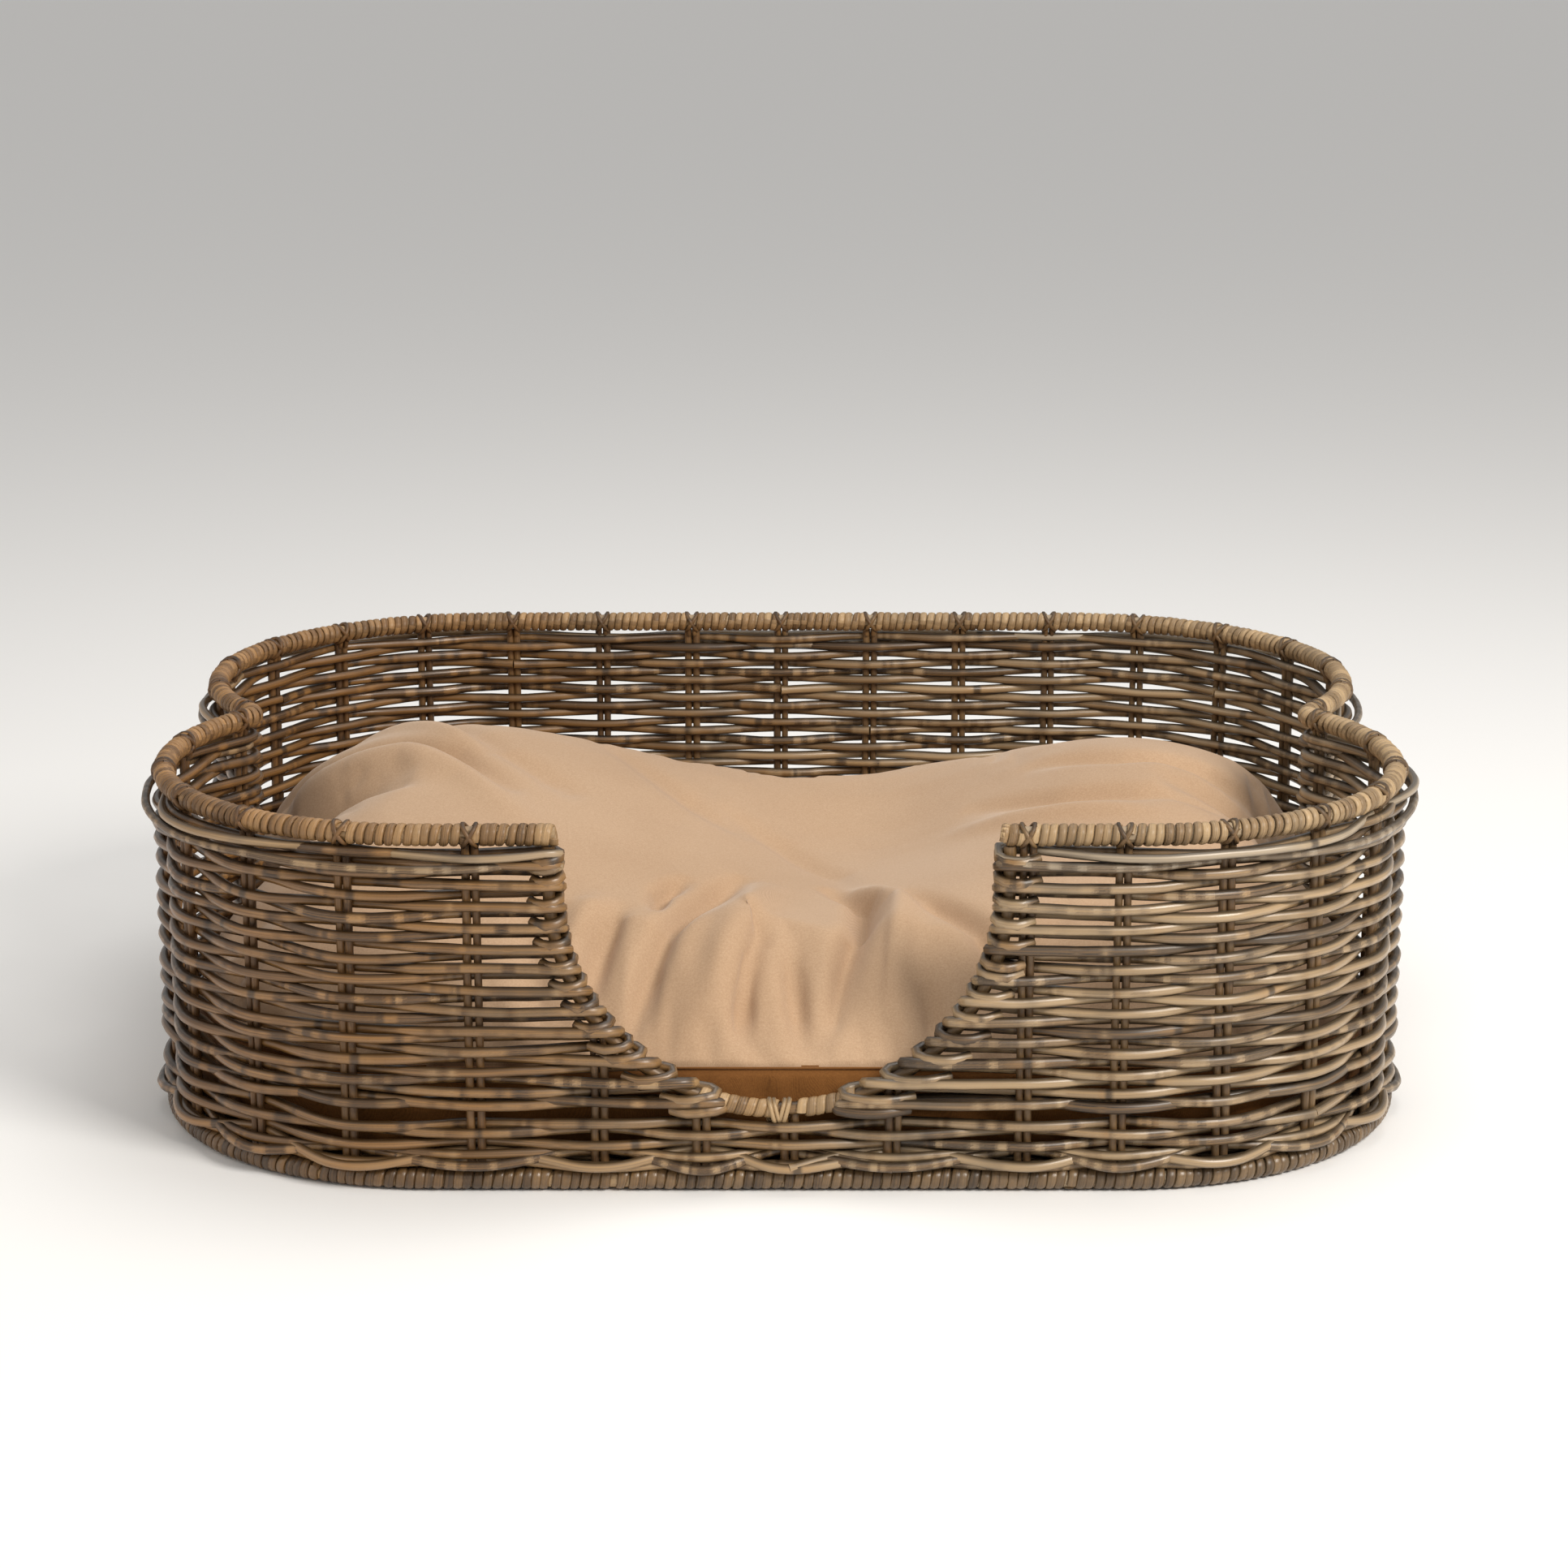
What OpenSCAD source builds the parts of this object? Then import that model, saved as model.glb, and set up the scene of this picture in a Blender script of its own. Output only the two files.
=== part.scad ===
// Wicker pet bed basket: a bone-shaped rattan basket with a scooped entry and a boxed cushion.
// The origin is on the floor under the middle of the basket. +X runs along the length,
// +Y points to the back wall and +Z points up. The entry scoop is in the front wall.

/* [Basket outline] */
// Length between the rim's centrelines at the ends
basket_length = 876; // [730:1:1052]
// Depth between the rim's centrelines, front to back
basket_depth = 660; // [550:1:720]
// Height of the rim's centre above the floor
rim_height = 250; // [209:1:300]
// Radius of each corner lobe, to the wall's middle
lobe_radius = 201; // [185:1:235]
// Radius of the small inward bend in the middle of each end
notch_radius = 16; // [15.6:0.1:24]

/* [Frame poles] */
// Radius of the pole inside the rim
rim_pole_r = 5.5; // [4:0.1:7]
// Radius of the pole inside the base hoop
base_pole_r = 5.5; // [4:0.1:7]
// Thickness of the peel that wraps the poles
wrap_t = 2; // [1:0.1:3]
// Width of each lashing where a stake pair meets the rim
lashing_width = 12; // [6:0.5:16]
// Thickness of each lashing
lashing_t = 1.2; // [0.6:0.1:2]

/* [Entry scoop] */
// Radius of the scoop, to the middle of its rail
scoop_radius = 153; // [125:1:184]
// Height of the scoop's sill, to the middle of its rail
sill_height = 58; // [50:1:70]
// Radius of the scoop's rail
rail_r = 4.5; // [3:0.1:5.5]
// Thickness of the peel on the sill
sill_wrap_t = 1.8; // [1:0.1:2.4]
// Length of the wrapped sill, measured straight across
sill_wrap_length = 100; // [60:1:130]

/* [Stakes and weave] */
// Radius of one upright stake
stake_r = 2.9; // [2:0.1:3]
// Distance between the two stakes of a pair
pair_gap = 6.3; // [6.1:0.1:8]
// Greatest distance between stake pairs round the ends and the back
stake_pitch = 77; // [60:1:100]
// Thickness of the weave on each side of the stakes
weave_t = 6.8; // [5:0.1:7]
// Thickness of the long strands laid on the outside under the rim
top_wale_t = 5; // [3:0.1:5.2]
// Height of the band of long strands under the rim
top_wale_height = 15; // [8:1:22]
// Thickness of the heavy strands at the foot of the wall
bottom_wale_t = 3.6; // [2:0.1:5]
// Height of the band of heavy strands at the foot of the wall
bottom_wale_height = 14; // [8:1:20]

/* [Base] */
// Height of the cross battens, from the floor up
batten_height = 9; // [7:0.5:10]
// Width of a cross batten at the floor
batten_width = 22; // [16:1:30]
// Distance from the middle batten to the others
batten_pitch = 225; // [180:1:270]
// Thickness of the woven base
base_weave_t = 6; // [4:0.5:8]

/* [Cushion] */
// Gap between the cushion's side and the wall's inside
cushion_gap = 8; // [6.5:0.5:14]
// Height of the gusset between its two seams
gusset_height = 64; // [54:1:77]
// Rise of the stuffed top above its seam
crown_rise = 110; // [90:1:132]
// Thickness of the cover's cloth
cloth_t = 1.6; // [1:0.1:2]
// Gap between the cover and the inner pad
pad_gap = 4.4; // [4:0.1:7]

/* [Zip] */
// Length of the zip's chain
zip_length = 440; // [366:1:460]
// Width of the opening that the zip fills
zip_slot = 26; // [20:1:32]
// Length of the pull tab
pull_length = 20; // [14:1:24]

/* [Hidden] */
$fn = 96;

weaver_color = [0.47, 0.38, 0.27];
peel_color = [0.59, 0.48, 0.33];
pole_color = [0.66, 0.53, 0.36];
cover_color = [0.78, 0.62, 0.45];
gusset_color = [0.70, 0.47, 0.26];
casing_color = [0.92, 0.90, 0.86];
metal_color = [0.72, 0.70, 0.66];

// Outline: four lobes joined by straight long sides and, at each end, by a small inward bend
half_length = basket_length / 2;
half_depth = basket_depth / 2;
lobe_x = half_length - lobe_radius;
lobe_y = half_depth - lobe_radius;
notch_reach = sqrt(pow(lobe_radius + notch_radius, 2) - lobe_y * lobe_y);
notch_x = lobe_x + notch_reach;
lobe_turn = atan2(lobe_y, notch_reach);
lobe_sweep = 90 + lobe_turn;
lobe_run = lobe_radius * lobe_sweep * PI / 180;
notch_run = notch_radius * 2 * lobe_turn * PI / 180;
end_run = 2 * lobe_run + notch_run;

// Clearances and the levels that follow from the sizes
touch = 0.3;
pole_clear = 0.4;
rim_wrap_r = rim_pole_r + wrap_t;
base_wrap_r = base_pole_r + wrap_t;
lashing_r = rim_wrap_r + pole_clear + lashing_t;
wall_top = rim_height - lashing_r - touch;
wall_foot = 2 * base_wrap_r + touch;
weave_in = stake_r + touch;
weave_out = weave_in + weave_t;
scoop_z = sill_height + scoop_radius;
sill_wrap_r = rail_r + sill_wrap_t;
scoop_clear_r = scoop_radius + sill_wrap_r + touch;
sill_half = scoop_radius * 0.62;
rim_end = scoop_radius - rail_r;
base_weave_foot = batten_height + touch;
base_weave_top = base_weave_foot + base_weave_t;

// Stake pairs: nine along the front, set by eye, and an even run round the ends and the back
front_pairs = [-291, -205, -121, -53, 7, 77, 165, 229, 299];
front_pairs_length = 876;
front_stretch = basket_length / front_pairs_length;
rail_pair = 6;
rail_pair_x = scoop_radius + rail_r + touch + stake_r + pair_gap / 2 + 1;
front_x = [for (i = [0 : len(front_pairs) - 1])
    i == rail_pair ? rail_pair_x : front_pairs[i] * front_stretch];
outline_length = 4 * lobe_x + 2 * end_run;

// Distance along the outline of a front position, counted from the front's middle towards +X
function front_run(x) =
    abs(x) <= lobe_x ? x : sign(x) * (lobe_x + asin((abs(x) - lobe_x) / lobe_radius) * lobe_radius * PI / 180);

// A pair stands on each side of a notch, and the pairs between these fixed ones are evenly spaced
flank = notch_run / 2 + lashing_width / 2 + 2;
right_notch_run = lobe_x + end_run / 2;
left_notch_run = right_notch_run + outline_length / 2;
first_run = front_run(front_x[len(front_x) - 1]);
last_run = outline_length + front_run(front_x[0]);
function spread(from_run, to_run) =
    let (gaps = ceil((to_run - from_run) / stake_pitch))
    [for (i = [0 : gaps]) from_run + i * (to_run - from_run) / gaps];
function without_first(list) = [for (i = [1 : len(list) - 1]) list[i]];
function without_last(list) = [for (i = [0 : len(list) - 2]) list[i]];
front_runs = [for (x = front_x) front_run(x)];
rest_runs = concat(
    without_first(spread(first_run, right_notch_run - flank)),
    spread(right_notch_run + flank, left_notch_run - flank),
    without_last(spread(left_notch_run + flank, last_run))
);

// Point and heading of the outline at a distance s from the front's middle: [x, y, heading]
function on_arc(cx, cy, r, start, s) =
    let (a = start + s / r * 180 / PI) [cx + r * cos(a), cy + r * sin(a), a + 90];
function on_bend(cx, cy, r, start, s) =
    let (a = start - s / r * 180 / PI) [cx + r * cos(a), cy + r * sin(a), a - 90];
function end_point(s) =
    s < lobe_run ? on_arc(lobe_x, -lobe_y, lobe_radius, -90, s) :
    s < lobe_run + notch_run ? on_bend(notch_x, 0, notch_radius, 180 + lobe_turn, s - lobe_run) :
    on_arc(lobe_x, lobe_y, lobe_radius, -lobe_turn, s - lobe_run - notch_run);
function turned(p) = [-p[0], -p[1], p[2] + 180];
function outline_point(s) =
    s < 0 ? turned(outline_point(s + outline_length / 2)) :
    s <= lobe_x ? [s, -half_depth, 0] :
    s <= lobe_x + end_run ? end_point(s - lobe_x) :
    s <= outline_length / 2 ? [2 * lobe_x + end_run - s, half_depth, 180] :
    turned(outline_point(s - outline_length / 2));

// Runs that belong to each side: the ends start where the front's last pair is passed
right_runs = [for (s = rest_runs) if (s < lobe_x + end_run) s];
back_runs = [for (s = rest_runs) if (s >= lobe_x + end_run && s <= 3 * lobe_x + end_run) s];
left_runs = [for (s = rest_runs) if (s > 3 * lobe_x + end_run) s];
all_runs = concat(front_runs, rest_runs);

// Cushion levels and outlines, as offsets from the wall's middle
cushion_side = -(weave_out + cushion_gap);
cushion_foot = base_weave_top + touch;
seam_z = cushion_foot + gusset_height;
pad_side = cushion_side - cloth_t - pad_gap;
pad_foot = cushion_foot + cloth_t + touch;
pad_seam_z = pad_foot + 30;
casing_t = 1;
crown_steps = 5;
middle_side = -(lobe_radius - 30);

// Quarter ellipse from the seam up to the level middle of a stuffed top: [offset, height] points,
// rounded to a tenth so that each level ends exactly where the next one begins
function tenth(value) = round(value * 10) / 10;
function crown_curve(side, foot, rise) = [for (i = [0 : crown_steps])
    let (a = 90 * i / crown_steps, depth = side - middle_side)
    [tenth(side - depth * (1 - cos(a))), tenth(foot + rise * sin(a))]];

// A profile is drawn with its x outwards from the wall's middle and its y upwards.
// The next modules sweep it along one stretch of the outline each.
module on_side(side_x, side_y) {
    if (side_x < 0 && side_y < 0) rotate([0, 0, 180]) children();
    if (side_x < 0 && side_y > 0) mirror([1, 0, 0]) children();
    if (side_x > 0 && side_y < 0) mirror([0, 1, 0]) children();
    if (side_x > 0 && side_y > 0) children();
}

module along_lobe(side_x, side_y) {
    on_side(side_x, side_y) translate([lobe_x, lobe_y, 0]) {
        rotate_extrude(angle = 90) translate([lobe_radius, 0]) children();
        mirror([0, 1, 0]) rotate_extrude(angle = lobe_turn) translate([lobe_radius, 0]) children();
    }
}

module along_notch(side_x) {
    for (side_y = [-1, 1])
        on_side(side_x, side_y) translate([notch_x, 0, 0]) mirror([1, 0, 0])
            rotate_extrude(angle = lobe_turn) translate([notch_radius, 0]) mirror([1, 0]) children();
}

module along_side(from_x, to_x, side_y) {
    on_side(1, side_y)
        translate([from_x, half_depth, 0])
            rotate([90, 0, 90]) linear_extrude(to_x - from_x) children();
}

module along_end(side_x) {
    along_lobe(side_x, -1) children();
    along_notch(side_x) children();
    along_lobe(side_x, 1) children();
}

module all_round() {
    along_side(-lobe_x, lobe_x, -1) children();
    along_end(1) children();
    along_side(-lobe_x, lobe_x, 1) children();
    along_end(-1) children();
}

module round_but_scoop(gap_half) {
    along_side(gap_half, lobe_x, -1) children();
    along_end(1) children();
    along_side(-lobe_x, lobe_x, 1) children();
    along_end(-1) children();
    along_side(-lobe_x, -gap_half, -1) children();
}

// The space inside the outline between two levels, each given as [offset of its edge, height]
module level(low, high) {
    rise = high[1] - low[1];
    side_profile = [
        [-half_depth - low[0], 0], [half_depth + low[0], 0],
        [half_depth + high[0], rise], [-half_depth - high[0], rise]
    ];
    translate([0, 0, low[1]]) difference() {
        union() {
            for (side_x = [-1, 1], side_y = [-1, 1])
                translate([side_x * lobe_x, side_y * lobe_y, 0])
                    cylinder(r1 = lobe_radius + low[0], r2 = lobe_radius + high[0], h = rise);
            translate([-lobe_x, 0, 0]) rotate([90, 0, 90]) linear_extrude(2 * lobe_x) polygon(side_profile);
            for (side_x = [-1, 1]) linear_extrude(rise) polygon([
                [0, -lobe_y], [side_x * lobe_x, -lobe_y], [side_x * notch_x, 0],
                [side_x * lobe_x, lobe_y], [0, lobe_y]
            ]);
        }
        for (side_x = [-1, 1])
            translate([side_x * notch_x, 0, 0])
                cylinder(r1 = notch_radius - low[0], r2 = notch_radius - high[0], h = rise);
    }
}

module stack(levels) {
    for (i = [0 : len(levels) - 2]) level(levels[i], levels[i + 1]);
}

module slab(offset, foot, thickness) {
    level([offset, foot], [offset, foot + thickness]);
}

// Profiles. A pole's section has twelve flats, each r from its middle.
module pole_section(r) {
    half_flat = 15;
    rotate(half_flat) circle(r / cos(half_flat), $fn = 12);
}

module pole_profile(z, r) {
    translate([0, z]) pole_section(r);
}

module tube_profile(z, inner_r, outer_r) {
    translate([0, z]) difference() {
        pole_section(outer_r);
        pole_section(inner_r);
    }
}

module band_profile(inner, outer, foot, top) {
    translate([inner, foot]) square([outer - inner, top - foot]);
}

module outer_profile() {
    band_profile(weave_in, weave_out, wall_foot, wall_top);
}

module inner_profile() {
    band_profile(-weave_out, -weave_in, wall_foot, wall_top);
}

// The space taken out of the front wall for the scoop and its rail
module scoop_space() {
    reach = 4 * weave_out;
    translate([0, reach / 2 - half_depth, scoop_z]) rotate([90, 0, 0]) {
        cylinder(r = scoop_clear_r, h = reach);
        translate([-scoop_clear_r, 0, 0]) cube([2 * scoop_clear_r, rim_height, reach]);
    }
}

module front_panel(from_x, to_x) {
    difference() {
        along_side(from_x, to_x, -1) children();
        scoop_space();
    }
}

// Base
module base_hoop() {
    color(pole_color) all_round() pole_profile(base_wrap_r, base_pole_r);
}

module base_hoop_wrap() {
    color(peel_color) all_round() tube_profile(base_wrap_r, base_pole_r, base_wrap_r);
}

// Half-round batten with its flat side on the floor, cut to fit between the hoop's long sides
module base_batten(x) {
    half = half_depth - base_wrap_r - touch;
    batten_r = (batten_width * batten_width / 4 + batten_height * batten_height) / (2 * batten_height);
    color(pole_color) translate([x, half, 0]) rotate([90, 0, 0]) intersection() {
        translate([0, batten_height - batten_r, 0]) cylinder(r = batten_r, h = 2 * half);
        translate([-batten_width, 0, 0]) cube([2 * batten_width, batten_height + 1, 2 * half]);
    }
}

module base_weave() {
    edge = -weave_out - touch;
    color(weaver_color) slab(edge, base_weave_foot, base_weave_t);
}

// Nails driven through the hoop into the battens' ends
module base_nails() {
    nail_r = 0.8;
    nail_length = 2 * base_wrap_r + 8;
    color(metal_color) for (x = [-1, 0, 1] * batten_pitch, side_y = [-1, 1])
        translate([x, side_y * (half_depth + base_pole_r), batten_height / 2])
            rotate([90 * side_y, 0, 0]) cylinder(r = nail_r, h = nail_length, $fn = 24);
}

// Stakes: a pair stands on the hoop and ends under the rim, or under the rail where the scoop is
function rail_foot(x) = scoop_z - sqrt(pow(scoop_clear_r, 2) - pow(max(abs(x) - stake_r, 0), 2));
function stake_top(x) = abs(x) < scoop_radius ? rail_foot(x) : wall_top;

module stake(x, y, top) {
    translate([x, y, wall_foot]) cylinder(r = stake_r, h = top - wall_foot, $fn = 24);
}

module stake_pairs(runs, is_front) {
    color(pole_color) for (s = runs, shift = [-0.5, 0.5] * pair_gap) {
        p = outline_point(s);
        x = p[0] + shift * cos(p[2]);
        stake(x, p[1] + shift * sin(p[2]), is_front ? stake_top(x) : wall_top);
    }
}

module front_stakes() {
    stake_pairs(front_runs, true);
}

module right_stakes() {
    stake_pairs(right_runs, false);
}

module back_stakes() {
    stake_pairs(back_runs, false);
}

module left_stakes() {
    stake_pairs(left_runs, false);
}

// Weave outside and inside the stakes
module outer_weave_front_left() {
    color(weaver_color) front_panel(-lobe_x, -sill_half) outer_profile();
}

module outer_weave_sill() {
    color(weaver_color) front_panel(-sill_half, sill_half) outer_profile();
}

module outer_weave_front_right() {
    color(weaver_color) front_panel(sill_half, lobe_x) outer_profile();
}

module outer_weave_lobe(side_x, side_y) {
    color(weaver_color) along_lobe(side_x, side_y) outer_profile();
}

module outer_weave_notch(side_x) {
    color(weaver_color) along_notch(side_x) outer_profile();
}

module outer_weave_back() {
    color(weaver_color) along_side(-lobe_x, lobe_x, 1) outer_profile();
}

module inner_weave_front_left() {
    color(weaver_color) front_panel(-lobe_x, -sill_half) inner_profile();
}

module inner_weave_sill() {
    color(weaver_color) front_panel(-sill_half, sill_half) inner_profile();
}

module inner_weave_front_right() {
    color(weaver_color) front_panel(sill_half, lobe_x) inner_profile();
}

module inner_weave_end(side_x) {
    color(weaver_color) along_end(side_x) inner_profile();
}

module inner_weave_back() {
    color(weaver_color) along_side(-lobe_x, lobe_x, 1) inner_profile();
}

// Long strands laid on the outside, at the foot of the wall and under the rim
module bottom_wale() {
    inner = weave_out + touch;
    color(weaver_color) all_round()
        band_profile(inner, inner + bottom_wale_t, wall_foot, wall_foot + bottom_wale_height);
}

module top_wale() {
    inner = weave_out + touch;
    color(weaver_color) round_but_scoop(scoop_clear_r)
        band_profile(inner, inner + top_wale_t, wall_top - top_wale_height, wall_top);
}

// Scoop rail: a pole bent to a half circle with two straight legs up to the rim
module half_ring(turn_from, turn) {
    translate([0, -half_depth, scoop_z]) rotate([90, 0, 0])
        rotate([0, 0, turn_from]) rotate_extrude(angle = turn) translate([scoop_radius, 0]) children();
}

module scoop_rail() {
    color(pole_color) {
        half_ring(180, 180) circle(rail_r);
        for (side_x = [-1, 1])
            translate([side_x * scoop_radius, -half_depth, scoop_z])
                cylinder(r = rail_r, h = wall_top - scoop_z);
    }
}

module sill_wrap() {
    turn = 2 * asin(sill_wrap_length / 2 / scoop_radius);
    color(peel_color) half_ring(270 - turn / 2, turn) difference() {
        circle(sill_wrap_r);
        circle(rail_r);
    }
}

// Rim
module rim_hoop() {
    color(pole_color) round_but_scoop(rim_end) pole_profile(rim_height, rim_pole_r);
}

module rim_wrap() {
    color(peel_color) round_but_scoop(rim_end) tube_profile(rim_height, rim_pole_r, rim_wrap_r);
}

// Sleeves of peel over the rim, one at each stake pair that reaches it
module rim_lashings() {
    reaching = [for (s = all_runs) if (stake_top(outline_point(s)[0]) == wall_top || outline_point(s)[1] > 0) s];
    color(peel_color) for (s = reaching) {
        p = outline_point(s);
        translate([p[0], p[1], rim_height]) rotate([90, 0, p[2] + 90])
            translate([0, 0, -lashing_width / 2]) difference() {
                cylinder(r = lashing_r, h = lashing_width);
                translate([0, 0, -1]) cylinder(r = lashing_r - lashing_t, h = lashing_width + 2);
            }
    }
}

// Nails driven down through the rim's pole into the stakes
module rim_nails() {
    nail_r = 0.7;
    nail_depth = 14;
    color(metal_color) for (s = all_runs, shift = [-0.5, 0.5] * pair_gap) {
        p = outline_point(s);
        x = p[0] + shift * cos(p[2]);
        y = p[1] + shift * sin(p[2]);
        if (p[1] > 0 || stake_top(x) == wall_top)
            translate([x, y, wall_top - nail_depth])
                cylinder(r = nail_r, h = rim_height + rim_pole_r / 2 - wall_top + nail_depth, $fn = 24);
    }
}

// Cushion cover
module cover_bottom() {
    color(gusset_color) slab(cushion_side, cushion_foot, cloth_t);
}

module zip_slot_space() {
    translate([-zip_length / 2 - 2, half_depth - lobe_radius, zip_z - zip_slot / 2])
        cube([zip_length + 4, lobe_radius, zip_slot]);
}

module cover_gusset() {
    color(gusset_color) difference() {
        all_round() band_profile(cushion_side - cloth_t, cushion_side, cushion_foot + cloth_t, seam_z);
        zip_slot_space();
    }
}

module cover_top() {
    inner_side = cushion_side - cloth_t;
    color(cover_color) difference() {
        stack(crown_curve(cushion_side, seam_z, crown_rise));
        slab(inner_side, seam_z - 1, 1);
        stack(crown_curve(inner_side, seam_z, crown_rise - cloth_t));
    }
}

// Inner pad: two casing panels sewn together half way up, stuffed with fibre
pad_rise = crown_rise - cloth_t - pad_gap / 2;

module pad_casing_upper() {
    inner_side = pad_side - casing_t;
    color(casing_color) difference() {
        stack(concat([[pad_side, pad_seam_z]], crown_curve(pad_side, seam_z, pad_rise)));
        stack(concat([[inner_side, pad_seam_z - 1]], crown_curve(inner_side, seam_z - casing_t, pad_rise)));
    }
}

module pad_casing_lower() {
    depth = pad_seam_z - pad_foot;
    color(casing_color) difference() {
        slab(pad_side, pad_foot, depth);
        slab(pad_side - casing_t, pad_foot + casing_t, depth);
    }
}

module pad_filling() {
    inset = casing_t + touch;
    side = pad_side - inset;
    color(casing_color)
        stack(concat([[side, pad_foot + inset]], crown_curve(side, seam_z - casing_t, pad_rise - inset)));
}

// Zip in the back of the gusset, and the rivet that its pull tab hangs on
zip_y = half_depth + cushion_side - cloth_t / 2;
zip_z = cushion_foot + gusset_height / 2;
tape_t = 1;
coil_r = 0.9;
coil_shift = 1.6;
slider_length = 9;
slider_height = 9;
plate_t = 1.2;
plate_gap = coil_r + touch;
plate_face = zip_y + plate_gap + plate_t;
stop_length = 3;
slider_x = -zip_length / 2 + stop_length + 1 + slider_length / 2;
rivet_r = 1.2;
tab_t = 1.2;
tab_width = 6;
tab_foot = plate_face + touch;

module zip_tapes() {
    tape_in = coil_shift + coil_r + 0.1;
    color(gusset_color) for (side = [-1, 1])
        translate([-zip_length / 2 - 2, zip_y - tape_t / 2, zip_z + (side > 0 ? tape_in : -zip_slot / 2)])
            cube([zip_length + 4, tape_t, zip_slot / 2 - tape_in]);
}

module zip_coils() {
    color(gusset_color) for (side = [-1, 1])
        translate([-zip_length / 2 + stop_length, zip_y, zip_z + side * coil_shift])
            rotate([0, 90, 0]) cylinder(r = coil_r, h = zip_length - 2 * stop_length, $fn = 24);
}

module zip_stops() {
    stop_height = 2 * (coil_shift + coil_r);
    color(metal_color) for (x = [-zip_length / 2, zip_length / 2 - stop_length])
        translate([x, zip_y - coil_r, zip_z - stop_height / 2])
            cube([stop_length, 2 * coil_r, stop_height]);
}

module zip_slider() {
    post_length = 3;
    post_height = 0.8;
    head_t = 0.6;
    color(metal_color) {
        for (foot = [zip_y + plate_gap, zip_y - plate_gap - plate_t])
            translate([slider_x - slider_length / 2, foot, zip_z - slider_height / 2])
                cube([slider_length, plate_t, slider_height]);
        translate([slider_x - post_length / 2, zip_y - plate_gap, zip_z - post_height / 2])
            cube([post_length, 2 * plate_gap, post_height]);
        translate([slider_x, plate_face, zip_z]) rotate([-90, 0, 0]) {
            cylinder(r = rivet_r, h = tab_t + 2 * touch);
            translate([0, 0, tab_t + 2 * touch]) cylinder(r = 2 * rivet_r, h = head_t);
        }
    }
}

module zip_pull() {
    hole_r = rivet_r + 0.1;
    color(metal_color) translate([slider_x, tab_foot, zip_z]) rotate([-90, 0, 0]) difference() {
        union() {
            cylinder(r = tab_width / 2, h = tab_t);
            translate([-tab_width / 2, 0, 0]) cube([tab_width, pull_length, tab_t]);
            translate([0, pull_length, 0]) cylinder(r = tab_width / 2, h = tab_t);
        }
        translate([0, 0, -1]) cylinder(r = hole_r, h = tab_t + 2);
    }
}

base_hoop();
base_hoop_wrap();
base_batten(-batten_pitch);  // base_batten_left
base_batten(0);  // base_batten_middle
base_batten(batten_pitch);  // base_batten_right
base_weave();
base_nails();
front_stakes();
right_stakes();
back_stakes();
left_stakes();
outer_weave_front_left();
outer_weave_sill();
outer_weave_front_right();
outer_weave_lobe(1, -1);  // outer_weave_right_front_lobe
outer_weave_notch(1);  // outer_weave_right_notch
outer_weave_lobe(1, 1);  // outer_weave_right_back_lobe
outer_weave_back();
outer_weave_lobe(-1, 1);  // outer_weave_left_back_lobe
outer_weave_notch(-1);  // outer_weave_left_notch
outer_weave_lobe(-1, -1);  // outer_weave_left_front_lobe
inner_weave_front_left();
inner_weave_sill();
inner_weave_front_right();
inner_weave_end(1);  // inner_weave_right_end
inner_weave_back();
inner_weave_end(-1);  // inner_weave_left_end
bottom_wale();
top_wale();
scoop_rail();
sill_wrap();
rim_hoop();
rim_wrap();
rim_lashings();
rim_nails();
cover_bottom();
cover_gusset();
cover_top();
pad_casing_lower();
pad_casing_upper();
pad_filling();
zip_tapes();
zip_coils();
zip_stops();
zip_slider();
zip_pull();
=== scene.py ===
import math
import random

import bmesh
import bpy
import numpy as np
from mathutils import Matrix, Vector


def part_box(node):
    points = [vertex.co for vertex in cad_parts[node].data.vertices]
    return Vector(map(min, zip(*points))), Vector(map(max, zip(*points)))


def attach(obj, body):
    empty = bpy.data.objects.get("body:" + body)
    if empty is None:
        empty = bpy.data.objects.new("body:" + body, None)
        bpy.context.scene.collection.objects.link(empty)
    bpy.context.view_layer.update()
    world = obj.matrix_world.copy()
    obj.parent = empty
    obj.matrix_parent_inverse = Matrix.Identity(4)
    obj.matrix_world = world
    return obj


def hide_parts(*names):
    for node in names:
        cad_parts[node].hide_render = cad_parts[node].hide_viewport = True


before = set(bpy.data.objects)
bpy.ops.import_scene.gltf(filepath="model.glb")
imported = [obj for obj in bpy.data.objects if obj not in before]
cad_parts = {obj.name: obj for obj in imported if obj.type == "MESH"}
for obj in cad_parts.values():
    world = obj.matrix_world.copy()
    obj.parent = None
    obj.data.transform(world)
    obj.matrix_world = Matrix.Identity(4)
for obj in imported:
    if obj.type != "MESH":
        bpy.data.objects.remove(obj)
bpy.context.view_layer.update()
MM = 0.001

# ---- Base hoop -----------------------------------------------------------------------------
# A rattan pole bent to the bone-shaped outline of the basket, bound all round with split peel.
# Stakes, weave and battens all start from it, so the outline is worked out here.
wall_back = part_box("outer_weave_back")
inner_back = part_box("inner_weave_back")
notch_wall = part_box("outer_weave_right_notch")
lobe_x = wall_back[1].x
half_depth = (wall_back[0].y + inner_back[1].y) / 2
weave_in = wall_back[0].y - half_depth
weave_out = wall_back[1].y - half_depth
lobe_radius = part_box("outer_weave_right_front_lobe")[1].x - weave_out - lobe_x
lobe_y = half_depth - lobe_radius
notch_top = notch_wall[0].x - weave_in - lobe_x
notch_radius = (lobe_y**2 + notch_top**2 - lobe_radius**2) / (2 * (lobe_radius - notch_top))
notch_x = lobe_x + notch_top + notch_radius
lobe_run = lobe_radius * (math.pi / 2 + math.atan2(lobe_y, notch_x - lobe_x))
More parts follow.
